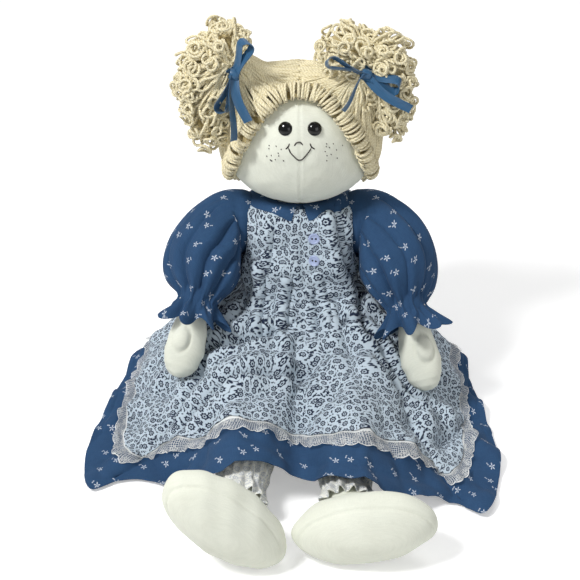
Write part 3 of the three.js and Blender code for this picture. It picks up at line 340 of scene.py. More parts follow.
class Sums:
    """Nodes of one tree: sum('ADD', a, b) makes a Math node and gives back its socket."""

    def __init__(self, tree):
        self.tree = tree

    def node(self, kind, feeds=None, **settings):
        """A node with its settings and the values or sockets of its inputs."""
        made = self.tree.nodes.new(kind)
        for key, value in settings.items():
            setattr(made, key, value)
        for key, value in (feeds or {}).items():
            self.feed(made.inputs[key], value)
        return made

    def feed(self, socket, value):
        """Links a socket to an input, or sets the input's constant value."""
        if isinstance(value, bpy.types.NodeSocket):
            self.tree.links.new(value, socket)
        else:
            socket.default_value = value

    def sum(self, operation, *values):
        """A Math node of numbers or sockets."""
        made = self.tree.nodes.new("ShaderNodeMath")
        made.operation = operation
        for socket, value in zip(made.inputs, values):
            self.feed(socket, value)
        return made.outputs[0]

    def length(self, x, y):
        """Square root of x^2 + y^2."""
        return self.sum("SQRT", self.plus(self.times(x, x), self.times(y, y)))

    def times(self, first, second):
        """first x second."""
        return self.sum("MULTIPLY", first, second)

    def plus(self, first, second):
        """first + second."""
        return self.sum("ADD", first, second)

    def larger(self, first, second):
        """The larger of two."""
        return self.sum("MAXIMUM", first, second)

    def noise(self, place, scale, detail):
        """Clouds of about 1 / scale in size."""
        feeds = {"Vector": place, "Scale": scale, "Detail": detail}
        return self.node("ShaderNodeTexNoise", feeds).outputs[0]

    def cells(self, place, scale, scatter, **settings):
        """Flat Voronoi cells; scatter runs from a square grid (0) to chance (1)."""
        feeds = {"Vector": place, "Scale": scale, "Randomness": scatter}
        return self.node("ShaderNodeTexVoronoi", feeds, voronoi_dimensions="2D", **settings)

    def below(self, value, edge, soft):
        """1 where value is under edge and 0 above it, over a band of width soft."""
        t = self.sum("DIVIDE", self.sum("SUBTRACT", edge, value), soft)
        made = self.sum("ADD", t, 0.5)
        made.node.use_clamp = True
        return made

    def mix(self, share, first, second):
        """Colour from first (share 0) to second (share 1)."""
        made = self.node("ShaderNodeMix", data_type="RGBA")
        for socket, value in zip((made.inputs[0], made.inputs[6], made.inputs[7]), (share, first, second)):
            self.feed(socket, value)
        return made.outputs[2]

    def parts(self, vector):
        """x, y and z of a vector."""
        made = self.node("ShaderNodeSeparateXYZ", {0: vector})
        return made.outputs[0], made.outputs[1], made.outputs[2]

    def vector(self, operation, first, second):
        """A VectorMath node; the second value of SCALE is a number."""
        made = self.tree.nodes.new("ShaderNodeVectorMath")
        made.operation = operation
        self.feed(made.inputs[0], first)
        self.feed(made.inputs[3 if operation == "SCALE" else 1], second)
        return made.outputs[0]


def group(name, inputs, outputs, write):
    """A shader node group with named sockets; write(sums, sockets) returns its outputs by name."""
    tree = bpy.data.node_groups.new(name, "ShaderNodeTree")
    for key, value in inputs.items():
        kind = "NodeSocketVector" if value is None else "NodeSocketFloat"
        socket = tree.interface.new_socket(key, in_out="INPUT", socket_type=kind)
        if value is not None:
            socket.default_value = value
    for key in outputs:
        tree.interface.new_socket(key, in_out="OUTPUT", socket_type="NodeSocketFloat")
    start, end = tree.nodes.new("NodeGroupInput"), tree.nodes.new("NodeGroupOutput")
    made = write(Sums(tree), {key: start.outputs[key] for key in inputs})
    for key in outputs:
        tree.links.new(made[key], end.inputs[key])
    return tree


def use(sums, tree, **feeds):
    """Places a node group and gives back its outputs."""
    made = sums.node("ShaderNodeGroup", node_tree=tree)
    for key, value in feeds.items():
        sums.feed(made.inputs[key], value)
    return made.outputs


# %% [markdown]
# Plain weave is two sets of threads that pass over and under each other. Its height is the product
# of two sine waves one thread apart, broken up by slubs, which are slow streaks along each thread.
# A second group scatters small printed motifs: each cell of a Voronoi pattern holds one motif,
# turned by chance, with petals that come from the cosine of the angle round its middle.

# %% Weave and print groups


def write_weave(s, given):
    """Height and shade of threads one `Thread` apart, with slubs and slow clouds."""
    x, y, z = s.parts(given["Place"])
    turn = s.sum("DIVIDE", 2 * math.pi, given["Thread"])
    waves = [s.sum("SINE", s.times(value, turn)) for value in (x, y, z)]
    cross = s.plus(s.times(waves[0], waves[1]), s.times(waves[2], 0.5))
    along = s.vector("MULTIPLY", given["Place"], (0.12, 1.6, 0.12))
    across = s.vector("MULTIPLY", given["Place"], (1.6, 0.12, 1.6))
    slub = s.plus(s.noise(along, 1.0, 2.0), s.noise(across, 1.0, 2.0))
    cloud = s.noise(given["Place"], 0.035, 3.0)
    height = s.plus(s.times(cross, 0.35), slub)
    shade = s.plus(s.times(slub, 0.5), s.times(cloud, 0.5))
    return {"Height": height, "Shade": shade}


weave = group("plain_weave", {"Place": None, "Thread": 0.8}, ["Height", "Shade"], write_weave)


def scattered(s, given, scatter):
    """x and y from the middle of the cell that a place is in, and an angle by chance for the cell."""
    cells = s.cells(given["Place"], s.sum("DIVIDE", 1.0, given["Spacing"]), scatter)
    x, y, _ = s.parts(s.vector("SUBTRACT", given["Place"], cells.outputs["Position"]))
    chance, _, _ = s.parts(cells.outputs["Color"])
    return x, y, s.times(chance, 2 * math.pi)


def write_motif(s, given):
    """Mask = ring between two lobed outlines, and an eye; outline = radius x (1 + notch (cos - 1))."""
    x, y, turn = scattered(s, given, given["Scatter"])
    radius = s.length(x, y)
    angle = s.plus(s.sum("ARCTAN2", y, x), turn)
    wave = s.sum("COSINE", s.times(angle, given["Petals"]))
    lobe = s.plus(1.0, s.times(s.sum("SUBTRACT", wave, 1.0), given["Notch"]))
    edge = s.times(given["Radius"], lobe)
    outer = s.below(radius, edge, 0.5)
    inner = s.below(radius, s.times(edge, given["Hollow"]), 0.4)
    middle = s.below(radius, s.times(given["Radius"], given["Eye"]), 0.3)
    mask = s.larger(s.sum("SUBTRACT", outer, inner), middle)
    return {"Mask": mask, "Near": s.below(radius, s.times(given["Radius"], 1.5), 0.5)}


motif_inputs = {"Place": None, "Spacing": 18.0, "Radius": 3.5, "Petals": 5.0, "Notch": 0.4}
motif_inputs |= {"Hollow": 0.3, "Eye": 0.0, "Scatter": 0.6}
motif = group("scattered_motif", motif_inputs, ["Mask", "Near"], write_motif)


def write_stroke(s, given):
    """Mask = ellipse with its long side turned by chance."""
    x, y, turn = scattered(s, given, 0.85)
    cosine, sine = s.sum("COSINE", turn), s.sum("SINE", turn)
    along = s.plus(s.times(x, cosine), s.times(y, sine))
    across = s.sum("SUBTRACT", s.times(y, cosine), s.times(x, sine))
    far = s.length(s.sum("DIVIDE", along, given["Length"]), s.sum("DIVIDE", across, given["Width"]))
    return {"Mask": s.below(far, 1.0, 0.5)}


stroke_inputs = {"Place": None, "Spacing": 4.5, "Length": 1.5, "Width": 0.5}
stroke = group("scattered_stroke", stroke_inputs, ["Mask"], write_stroke)


def start_material(name, roughness, sheen=0.0, coat=0.0, gloss=0.25):
    """An empty finish with its constant values set on the shader itself."""
    material = bpy.data.materials.new(name)
    material.use_nodes = True
    shader = material.node_tree.nodes["Principled BSDF"]
    shader.inputs["Roughness"].default_value = roughness
    shader.inputs["Sheen Weight"].default_value = sheen
    shader.inputs["Sheen Roughness"].default_value = 0.4
    shader.inputs["Coat Weight"].default_value = coat
    shader.inputs["Specular IOR Level"].default_value = gloss
    return material, Sums(material.node_tree), shader


def cloth_place(s):
    """Place on the cloth in millimetres."""
    return s.node("ShaderNodeUVMap", uv_map="cloth").outputs[0]


def body_place(s):
    """Object coordinates in millimetres."""
    return s.vector("SCALE", s.node("ShaderNodeTexCoord").outputs["Object"], 1000.0)


def raise_bump(s, shader, height, millimetres):
    """Relief of a finish, as deep as the given millimetres."""
    bump = s.node("ShaderNodeBump", {"Height": height, "Strength": 0.6, "Distance": millimetres * MM})
    s.feed(shader.inputs["Normal"], bump.outputs[0])


def clouded(name, dark, light, roughness, scale, detail, depth, where=body_place, **shine):
    """A finish between two colours in soft clouds, which are its relief as well."""
    material, s, shader = start_material(name, roughness, **shine)
    cloud = s.noise(where(s), scale, detail)
    s.feed(shader.inputs["Base Color"], s.mix(cloud, dark, light))
    raise_bump(s, shader, cloud, depth)
    return material


# %% [markdown]
# The dress is mid-blue calico with small white sprigs about 23 mm apart. The pinafore is white
# lawn, closely printed in grey-blue with ring flowers, leaf strokes and small four-petalled
# flowers, and the pantaloons carry the same kind of print, finer and paler. All three share the
# groups above.

# %% Cloth finishes


def make_calico():
    """Blue calico: white sprigs, each with a small bud beside it."""
    material, s, shader = start_material("blue_calico", 0.88, sheen=0.03)
    place = cloth_place(s)
    woven = use(s, weave, Place=place, Thread=0.7)
    sprig = use(s, motif, Place=place, Spacing=23.0, Radius=3.3, Petals=5.0, Notch=0.49,
                Hollow=0.34, Eye=0.14, Scatter=0.6)
    moved = s.vector("ADD", place, (4.4, 3.4, 0.0))
    bud = use(s, motif, Place=moved, Spacing=23.0, Radius=1.6, Petals=2.0, Notch=0.45,
              Hollow=0.0, Eye=0.0, Scatter=0.6)
    white = s.larger(sprig["Mask"], s.times(bud["Mask"], 0.75))
    ground = s.mix(woven["Shade"], linear(20, 43, 72), linear(46, 78, 114))
    printed = s.mix(s.times(white, 0.72), ground, linear(214, 222, 232))
    s.feed(shader.inputs["Base Color"], printed)
    raise_bump(s, shader, woven["Height"], 0.12)
    return material


def make_print(name, dark, light, size, strength):
    """White cotton printed all over: leaves and small flowers fill the room between ring flowers."""
    material, s, shader = start_material(name, 0.86, sheen=0.1)
    place = s.vector("SCALE", cloth_place(s), 1.0 / size)
    woven = use(s, weave, Place=place, Thread=0.7)
    flower = use(s, motif, Place=place, Spacing=9.2, Radius=3.3, Petals=7.0, Notch=0.12,
                 Hollow=0.5, Eye=0.25, Scatter=0.85)
    free = s.sum("SUBTRACT", 1.0, flower["Near"])
    leaf = use(s, stroke, Place=place, Spacing=3.1, Length=1.75, Width=0.8)
    moved = s.vector("ADD", place, (31.0, 17.0, 0.0))
    blossom = use(s, motif, Place=moved, Spacing=5.2, Radius=1.9, Petals=4.0, Notch=0.3,
                  Hollow=0.0, Eye=0.0, Scatter=0.9)
    small = s.times(s.larger(leaf["Mask"], blossom["Mask"]), free)
    ink = s.times(s.larger(flower["Mask"], small), strength)
    ground = s.mix(woven["Shade"], tuple(0.86 * v for v in light[:3]) + (1.0,), light)
    s.feed(shader.inputs["Base Color"], s.mix(ink, ground, dark))
    raise_bump(s, shader, woven["Height"], 0.1)
    return material


blue_calico = make_calico()
flower_print = make_print("flower_print", linear(27, 38, 60), linear(188, 202, 213), 0.88, 1.0)
pantaloon_print = make_print("pantaloon_print", linear(126, 142, 166), linear(238, 238, 230), 0.9, 0.5)


# %% [markdown]
# Lace is mostly air: a fine net with flowers worked into it and a corded, scalloped lower edge. Its
# holes are alpha, so the blue skirt shows through. The edge follows the absolute value of a sine.

# %% Lace
LACE_WIDTH, SCALLOP_WIDTH, SCALLOP_DEPTH = 22, 11, 3.0


def make_lace():
    """Thread = net, worked flowers, heading and cord; alpha is thin where there is none of them."""
    material, s, shader = start_material("lace", 0.9)
    place = cloth_place(s)
    x, y, _ = s.parts(place)
    cells = s.cells(place, 0.5, 0.3, feature="DISTANCE_TO_EDGE")
    net = s.below(cells.outputs["Distance"], 0.11, 0.08)
    worked = use(s, motif, Place=place, Spacing=12.5, Radius=4.8, Petals=6.0, Notch=0.2,
                 Hollow=0.62, Eye=0.3, Scatter=0.5)
    wave = s.sum("ABSOLUTE", s.sum("SINE", s.times(x, math.pi / SCALLOP_WIDTH)))
    low_edge = s.plus(LACE_WIDTH - 3.4, s.times(wave, SCALLOP_DEPTH))
    inside = s.below(y, low_edge, 0.4)
    cord = s.times(s.below(s.sum("SUBTRACT", low_edge, y), 1.2, 0.3), inside)
    heading = s.below(y, 2.2, 0.5)
    thread = s.larger(s.larger(net, s.times(worked["Mask"], 0.6)), cord)
    thread = s.larger(thread, s.times(s.larger(heading, cord), 1.2))
    cover = s.plus(s.times(thread, 0.76), 0.06)
    s.feed(shader.inputs["Alpha"], s.times(cover, inside))
    woven = use(s, weave, Place=place, Thread=0.5)
    ground = s.mix(woven["Shade"], linear(196, 200, 204), linear(234, 236, 234))
    s.feed(shader.inputs["Base Color"], ground)
    raise_bump(s, shader, thread, 0.3)
    return material


lace = make_lace()

# %% [markdown]
# ## The draped dress
# All the clothes follow one surface, given in the same sizes as the CAD solids: oval sections down
# the bodice to the waist, then straight rays out to a hem drawn in plan, with the height of each
# point taken from the lap. Rows run down from the neck (0) over the waist (5) and the pinafore's
# hem (12) to the skirt's hem (14); 36 columns run round from the middle of the front.

# %% Sizes and shares of the clothes
TORSO_WIDTH, TORSO_DEPTH, TORSO_LEAN = 128, 100, 12
DRESS_NECK_HEIGHT, WAIST_HEIGHT = 199, 105
HIP_SPACING, LEG_LENGTH = 74, 208
SKIRT_WIDTH, SKIRT_FRONT, LAP_RISE = 400, 262, 77
COLUMNS, WAIST_ROW, PINAFORE_ROW, LACE_ROW, HEM_ROW = 36, 5, 12, 13, 14
bodice_shares = np.array([
    [1, 0.375, 0.46, 1, 2],
    [0.975, 0.66, 0.62, 0.9, 2.4],
    [0.9, 0.86, 0.74, 0.8, 2.8],
    [0.66, 0.9, 0.8, 0.65, 3],
    [0.32, 0.9, 0.9, 0.45, 3],
    [0, 0.9, 0.98, 0.25, 3],
])
hem_shares = np.array([
    [0, -0.88], [0.1, -0.94], [0.2, -0.99], [0.31, -1], [0.44, -0.96], [0.6, -0.9], [0.73, -0.895],
    [0.85, -0.955], [0.94, -0.78], [0.965, -0.61], [0.93, -0.33], [0.89, -0.11], [0.81, 0.1],
    [0.68, 0.25], [0.42, 0.345], [0, 0.375], [-0.42, 0.345], [-0.71, 0.25], [-0.85, 0.08],
    [-0.94, -0.15], [-1, -0.38], [-1.045, -0.6], [-0.995, -0.81], [-0.86, -0.77], [-0.72, -0.77],
    [-0.5, -0.87], [-0.31, -0.92], [-0.13, -0.9],
])
skirt_shares = np.array([0, 0.08, 0.19, 0.33, 0.49, 0.66, 0.83, 1])
fold_shares = np.array([
    [-0.225, 1, 0.016, 0.2, 1], [-0.17, 0.8, 0.018, 0.1, 0.9], [-0.115, 0.7, 0.016, 0, 0.8],
    [-0.06, 0.6, 0.014, 0.35, 1], [-0.02, 0.7, 0.012, 0, 0.5], [0.055, 0.8, 0.014, 0, 0.75],
    [0.1, 0.9, 0.018, 0.05, 1], [0.15, 0.8, 0.016, 0.3, 1], [0.205, 1, 0.018, 0.1, 1],
    [0.27, 1, 0.018, 0.15, 1], [0.335, 1, 0.016, 0.1, 1], [0.4, 1, 0.018, 0.1, 1],
    [0.47, 1, 0.018, 0.1, 1], [0.54, 1, 0.018, 0.1, 1], [0.605, 1, 0.016, 0.1, 1],
    [0.67, 1, 0.018, 0.15, 1], [0.735, 1, 0.016, 0.2, 1],
])
FOLD_HEIGHT = 6


def power(value, exponent):
    """Power of the size of a value, with the value's sign."""
    return np.sign(value) * np.abs(value) ** exponent


def oval(column, half_width, half_depth, middle, squareness):
    """Superellipse: x = w sin^(2/n), y = middle - d cos^(2/n), with signs kept."""
    angle = 2 * np.pi * column / COLUMNS
    x = half_width * power(np.sin(angle), 2 / squareness)
    return x, middle - half_depth * power(np.cos(angle), 2 / squareness)


def lap_height(x, y):
    """Full over both legs, dipping between them and sloping to the floor beyond them."""
    along = np.clip((-y - TORSO_DEPTH / 2) / LEG_LENGTH, 0, 1.4)
    near = np.minimum(along, 1)
    crown = 1 - 0.28 * near
    edge = (0.9 - 0.12 * near) * HIP_SPACING
    run = (1.62 - 0.6 * near) * HIP_SPACING
    beyond = np.clip((np.abs(x) - edge) / run, 0, 1)
    dip = (0.08 + 0.54 * along**1.6) * np.exp(-((x / (HIP_SPACING * 0.3)) ** 2))
    behind = smooth_share(-y, -TORSO_DEPTH * 0.45, TORSO_DEPTH * 0.35)
    return LAP_RISE * crown * (1 - beyond) ** 1.6 * (1 - dip) * behind


def pinafore_reach(column):
    """Share of the way to the skirt's hem at which the pinafore ends; least in front."""
    front = (1 + np.cos(2 * np.pi * column / COLUMNS)) / 2
    return 0.86 - 0.12 * front**0.7


def row_reach(row, column):
    """Share of the way from the waist to the hem at a row."""
    step = row - WAIST_ROW
    full = pinafore_reach(column)
    upper = np.interp(step, np.arange(8), skirt_shares) * full
    trim = full + 0.075 * np.clip(step - 7, 0, 1)
    return np.where(step <= 7, upper, trim + (1 - full - 0.075) * np.clip(step - 8, 0, 1))


def base_drape(row, column):
    """The clothes' surface without folds."""
    shares = [np.interp(row, np.arange(6), bodice_shares[:, k]) for k in range(5)]
    height, width, depth, lean, squareness = shares
    x, y = oval(column, width * TORSO_WIDTH / 2, depth * TORSO_DEPTH / 2, lean * TORSO_LEAN, squareness)
    z = WAIST_HEIGHT + height * (DRESS_NECK_HEIGHT - WAIST_HEIGHT)
    hem = curve_through(
        np.column_stack([hem_shares * [SKIRT_WIDTH / 2, SKIRT_FRONT], np.zeros(len(hem_shares))]),
        (column[0] % COLUMNS) / COLUMNS, closed=True,
    )
    reach = np.where(row > WAIST_ROW, row_reach(row, column), 0)
    out_x = x + (hem[:, 0] - x) * reach
    out_y = y + (hem[:, 1] - y) * reach
    steep = 1.15 + 4.35 * smooth_share(np.cos(2 * np.pi * column / COLUMNS), -0.5, 0.9)
    hang = (1 - reach) ** steep
    lap = lap_height(out_x, out_y) * (1 - hang)
    skirt = np.stack([out_x, out_y, WAIST_HEIGHT * hang + lap], -1)
    bodice = np.stack([x, y, z], -1)
    return np.where((row > WAIST_ROW)[..., None], skirt, bodice)


def normals_of(grid):
    """Outward normals: the cross product of the ways down and across a wrapped grid."""
    across = np.roll(grid, -1, 1) - np.roll(grid, 1, 1)
    down = np.gradient(grid, axis=0)
    return unit(np.cross(down, across))


# %% [markdown]
# Folds make the cloth read as cloth. Broad radial folds come from the CAD's table, pressed tucks
# run down the chest, soft creases lie over the lap, and wandering ripples break up what is left.
# Each is a height along the normal: a Gaussian bell across its line.

# %% Fold the drape
FINE = 10  # grid points to a column of the CAD's drape
fine_rows = np.concatenate([np.linspace(0, WAIST_ROW, 61)[:-1], np.linspace(WAIST_ROW, HEM_ROW, 109)])
fine_columns = np.arange(COLUMNS * FINE) / FINE
ROWS, COLS = np.meshgrid(fine_rows, fine_columns, indexing="ij")


def radial_folds(row, column):
    """Bells across the fold lines, which fade in and out on their way to the hem."""
    reach = np.clip((row - WAIST_ROW) / (HEM_ROW - WAIST_ROW), 0, 1)
    height = np.zeros_like(row)
    for at, rise, width, first, last in fold_shares:
        apart = np.abs((column / COLUMNS - at + 0.5) % 1 - 0.5)
        along = smooth_share(reach, first - 0.12, first + 0.12)
        along = along * (1 - smooth_share(reach, last, last + 0.15))
        height += rise * FOLD_HEIGHT * along * np.exp(-((apart / width) ** 2))
    return height * (row > WAIST_ROW)


def ridge(away, height, width):
    """A bell across a line, with a sharper dip on its right side, as a pressed fold has."""
    dip = np.exp(-(((away - 1.3 * width) / (0.5 * width)) ** 2))
    return height * (np.exp(-((away / width) ** 2)) - 1.2 * dip)


# Tucks down the chest: places (x, z) along each, height and width
chest_tucks = [
    ([(25, 197), (35, 145), (44, 124), (51, 96), (57, 76)], 6.4, 5.4),
    ([(33, 197), (38, 172), (42, 152)], 2.2, 4),
    ([(-13, 136), (-17, 110), (-21, 80)], 5.0, 4),
    ([(-42, 146), (-40, 124), (-45, 84)], 4.6, 4.2),
    ([(8, 122), (10, 100), (12, 80)], 2.0, 5),
    ([(-30, 190), (-33, 160), (-36, 130)], 1.8, 4),
    ([(16, 140), (22, 112), (27, 84)], 2.0, 4),
    ([(-4, 178), (-5, 150), (-2, 126)], 1.4, 5),
]
# Creases over the lap: places in plan, depth and width
lap_creases = [
    ([(-110, -60), (-85, -76), (-60, -81), (-24, -73), (2, -57)], 6.5, 6),
    ([(-24, -66), (17, -44), (40, -60), (66, -76)], 6, 5),
    ([(10, -118), (-30, -124), (-66, -128), (-92, -138), (-114, -152), (-132, -146)], 7.5, 7),
    ([(56, -56), (67, -77), (80, -92), (98, -108), (114, -118), (134, -118)], 9, 4.2),
    ([(-19, -134), (24, -104), (61, -101), (83, -97)], 3.6, 8),
    ([(-19, -180), (27, -162), (46, -136)], 3.4, 9),
    ([(60, -104), (84, -112), (104, -128), (110, -160)], 4.2, 7),
    ([(120, -172), (150, -140), (176, -104)], 4.5, 8),
    ([(-107, -170), (-67, -165), (-24, -150)], 3.0, 9),
    ([(-176, -60), (-150, -82), (-118, -104)], 3.5, 9),
    ([(-150, -178), (-128, -196), (-96, -204)], 3.2, 8),
    ([(70, -196), (88, -176), (96, -150)], 3.0, 8),
]


def from_line(flat, line):
    """Signed distance of 2-D points from a bent line, and how far along the line they are."""
    line = curve_through([(*p, 0) for p in line], np.linspace(0, 1, 25))[:, :2]
    ways = np.diff(line, axis=0)
    best = np.full(flat.shape[:-1], 1e9)
    along = np.zeros(flat.shape[:-1])
    for k, (start, way) in enumerate(zip(line, ways)):
        out = flat - start
        share = out @ way / (way @ way)
        near = np.clip(share, 0, 1)
        gap = out - near[..., None] * way
        side = np.sign(gap[..., 0] * way[1] - gap[..., 1] * way[0])
        far = np.hypot(gap[..., 0], gap[..., 1])
        closer = far < np.abs(best)
        best = np.where(closer, np.where(side == 0, 1, side) * far, best)
        along = np.where(closer, (k + near) / len(ways), along)
    return best, along


def tucks(points):
    """Pressed folds: a bell along the line and a narrow dip beside it."""
    height = np.zeros(points.shape[:-1])
    for line, rise, width in chest_tucks:
        away, along = from_line(points[..., ::2], line)
        fade = smooth_share(along, 0, 0.08) * (1 - smooth_share(along, 0.9, 1))
        height += ridge(-away, rise, width) * fade
    return height * (points[..., 1] < 0) * (1 - smooth_share(-points[..., 1], 70, 95))


def creases(points):
    """Soft valleys with a raised shoulder on each side."""
    height = np.zeros(points.shape[:-1])
    for line, depth, width in lap_creases:
        away, along = from_line(points[..., :2], line)
        away = np.abs(away)
        fade = smooth_share(along, 0, 0.2) * (1 - smooth_share(along, 0.8, 1))
        valley = -depth * np.exp(-((away / width) ** 2))
        shoulder = 0.55 * depth * np.exp(-(((away - 2 * width) / (1.2 * width)) ** 2))
        height += (valley + shoulder) * fade
    return height * (points[..., 2] < 92)


HEM_CLEARANCE = 2.2
base = base_drape(ROWS, COLS)
relief = 1.4 * radial_folds(ROWS, COLS) + 1.3 * tucks(base) + 1.3 * creases(base)
worn = smooth_share(ROWS, 1.2, 3)
relief += worn * (1.5 * ripples(base, 3, 46) + 0.6 * ripples(base, 5, 19))
hem_stitches = HEM_ROW - 0.45
relief -= 0.9 * np.exp(-(((ROWS - hem_stitches) / 0.08) ** 2))
drape = base + normals_of(base) * relief[..., None]
drape[..., 2] = np.maximum(drape[..., 2], HEM_CLEARANCE)
drape_normals = normals_of(drape)
print("drape:", drape.shape, "points, height", drape[..., 2].min().round(1), drape[..., 2].max().round(1))

# %% [markdown]
# The skirt's UV is the cut of a circle skirt: the distance down each column from the waist is the
# radius and the column's direction in plan is the angle. Above the waist the UV is the girth from
# the middle of the front and the distance down. In front the one passes gradually into the other,
# and behind they meet at the waist seam.

# %% Place on the cloth
half_folded = (base + drape) / 2  # so that a fold neither drags the print sideways nor stretches it all
down = lengths(half_folded, 0)
waist_at = int(np.searchsorted(fine_rows, WAIST_ROW))
girth = lengths(np.concatenate([half_folded, half_folded[:, :1]], 1), 1)
bearing = np.unwrap(np.arctan2(drape[-1, :, 0], -drape[-1, :, 1]))
bearing = np.append(bearing, bearing[0] + 2 * np.pi)
down_all = np.concatenate([down, down[:, :1]], 1)
slant = down_all - down_all[waist_at] + TORSO_WIDTH / 2
circle_uv = np.stack([slant * np.sin(bearing), slant * np.cos(bearing)], -1)
ahead = smooth_share(np.cos(bearing), -0.1, 0.7)
first_row, last_row = WAIST_ROW - 1.5 * ahead, WAIST_ROW + 0.1 + 3.9 * ahead
to_circle = smooth_share(fine_rows[:, None], first_row, last_row)[..., None]
cut_uv = {}
for side in (1, -1):
    upper_uv = np.stack([girth if side > 0 else girth - girth[:, -1:], slant], -1)
    cut_uv[side] = upper_uv + (circle_uv - upper_uv) * to_circle
flat_uv = np.stack([girth, down_all], -1)


def drape_piece(name, material, offset, rows, columns, uv, lift=None):
    """Rows and columns (in units of the drape) raised off it by offset, as a sheet of their own."""
    first, last = (int(np.argmin(np.abs(fine_rows - r))) for r in rows)
    down, picked = slice(first, last + 1), np.arange(round(columns[0] * FINE), round(columns[1] * FINE) + 1)
    around = picked % (COLUMNS * FINE)
    rise = offset if lift is None else (offset + lift[down][:, around])[..., None]
    points = drape[down][:, around] + drape_normals[down][:, around] * rise
    return surface(name, points, uv[down][:, picked], material)


# %% [markdown]
# ## Lifting a leg under the skirt
# A leg lifts the cloth that lies on it. Each half of the skirt blends from the torso to its own leg
# past the hip, and the blend is then eased off beside the leg, so that the middle of the skirt and
# its far corner stay down and the cloth between them slopes like a tent. No point is carried back
# past the front of the bodice.

# %% Cloth over a leg
HIP_Y, HIP_Z, HIP_LIFT = -55.5, 30, np.radians(45)
BLEND_FROM, BLEND_TO = HIP_Y + 25, HIP_Y - 75
BODICE_FRONT = -50
MIDDLE_STRIP, FALL_FROM, FALL_TO = 24, 62, 125  # across from the middle: where the bell rises and falls


def lay_over_leg(piece, side, rise):
    """Weight = smooth way past the hip x a bell beside the leg, and no more than brings the cloth
    back to the front of the bodice: room / (ahead x (1 - cos lift) + above x sin lift)."""
    name = "leg_left" if side > 0 else "leg_right"
    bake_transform(piece, "torso", name, (0, BLEND_FROM * MM, 0), (0, BLEND_TO * MM, 0))
    x, y, z = vertex_values(piece.data, "co").T / MM
    weights = np.zeros(len(x), np.float32)
    stored = piece.data.attributes["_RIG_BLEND"].data
    stored.foreach_get("value", weights)
    ahead = smooth_share(-y, 110, 200)
    fall = smooth_share(side * x, FALL_FROM + 16 * ahead, FALL_TO + 65 * ahead)
    beside = smooth_share(side * x, 0, MIDDLE_STRIP) * (1 - (0.95 - 0.13 * ahead) * fall)
    back = np.clip(HIP_Y - y, 0, None) * (1 - np.cos(HIP_LIFT))
    back = back + np.clip(z - HIP_Z, 1, None) * np.sin(HIP_LIFT)
    room = np.clip(BODICE_FRONT - 1.5 * rise - y, 0, None)
    stored.foreach_set("value", np.minimum(weights * beside, room / back).astype(np.float32))


# %% [markdown]
# ## Dress, pinafore and lace
# The dress is a bodice and a skirt of one layer, and the pinafore lies over it. Both bodice and
# pinafore are open at the arms: quads wholly inside an armhole go, and the points left inside it
# slide along the cloth to its rim.

# %% Make the dress
SHOULDER = np.array([8, 170])
DRESS_RISE, PINAFORE_RISE = 1.4, 3.4
BODICE_ARMHOLE, PINAFORE_ARMHOLE = (28, 34), (37, 57)  # radius, and how far out the round end starts


def into_armhole(points, radius, from_x):
    """Distance of points outside an armhole (a round-ended cylinder), and the way out of it."""
    away = points[:, 1:] - SHOULDER
    gap = np.clip(from_x - np.abs(points[:, 0]), 0, None)
    far = np.hypot(np.linalg.norm(away, axis=1), 4 * gap)
    out = np.column_stack([-16 * gap * np.sign(points[:, 0]), away]) / np.maximum(far, 1)[:, None]
    return far - radius, out


def open_armhole(piece, radius, from_x):
    """Takes out the quads inside an armhole, and brings the points left inside to its rim."""
    data = piece.data
    points, normals = vertex_values(data, "co") / MM, vertex_values(data, "normal")
    inside = into_armhole(points, radius, from_x)[0] < 0
    gone = np.flatnonzero([inside[list(p.vertices)].all() for p in data.polygons])
    for _ in range(4):
        over, way = into_armhole(points, radius, from_x)
        way = way - (way * normals).sum(-1, keepdims=True) * normals
        step = np.clip(-over / np.maximum((way**2).sum(-1), 0.1), 0, 4)
        points += np.where(inside, step, 0)[:, None] * way
    data.vertices.foreach_set("co", (points * MM).astype(np.float32).ravel())
    shape = bmesh.new()
    shape.from_mesh(data)
    shape.faces.ensure_lookup_table()
    bmesh.ops.delete(shape, geom=[shape.faces[int(k)] for k in gone], context="FACES")
    shape.to_mesh(data)
    shape.free()
    return thicken(piece, 0.7)


bodice = drape_piece("dress_bodice_cloth", blue_calico, DRESS_RISE, (0, WAIST_ROW), (0, COLUMNS), flat_uv)
open_armhole(bodice, *BODICE_ARMHOLE)
assign(bodice, "torso", "blue_calico", "dress_bodice")
cloth_sheet(bodice, 0.38)
SPANS = {1: (0, COLUMNS / 2), -1: (COLUMNS / 2, COLUMNS)}
SKIRT_ROWS, PINAFORE_ROWS = (WAIST_ROW, HEM_ROW), (1, PINAFORE_ROW)
LACE_ROWS = (PINAFORE_ROW - 0.15, LACE_ROW)
for side, name in HANDS:
    place = (SPANS[side], cut_uv[side])
    skirt = drape_piece(f"dress_skirt_{name}", blue_calico, DRESS_RISE, SKIRT_ROWS, *place)
    lay_over_leg(thicken(skirt, 0.8), side, DRESS_RISE)
    assign(skirt, None, "blue_calico", "dress_skirt")
    cloth_sheet(skirt, 0.36)
    apron = drape_piece(f"pinafore_{name}", flower_print, PINAFORE_RISE, PINAFORE_ROWS, *place)
    lay_over_leg(open_armhole(apron, *PINAFORE_ARMHOLE), side, PINAFORE_RISE)
    assign(apron, None, "flower_print", "pinafore_front", "pinafore_back")
    cloth_sheet(apron, 0.3)

# %% [markdown]
# The lace is sewn behind the pinafore's hem and lies in small flutes, because more of it is
# gathered in than the hem is long. Its UV runs along the hem and down from the seam.

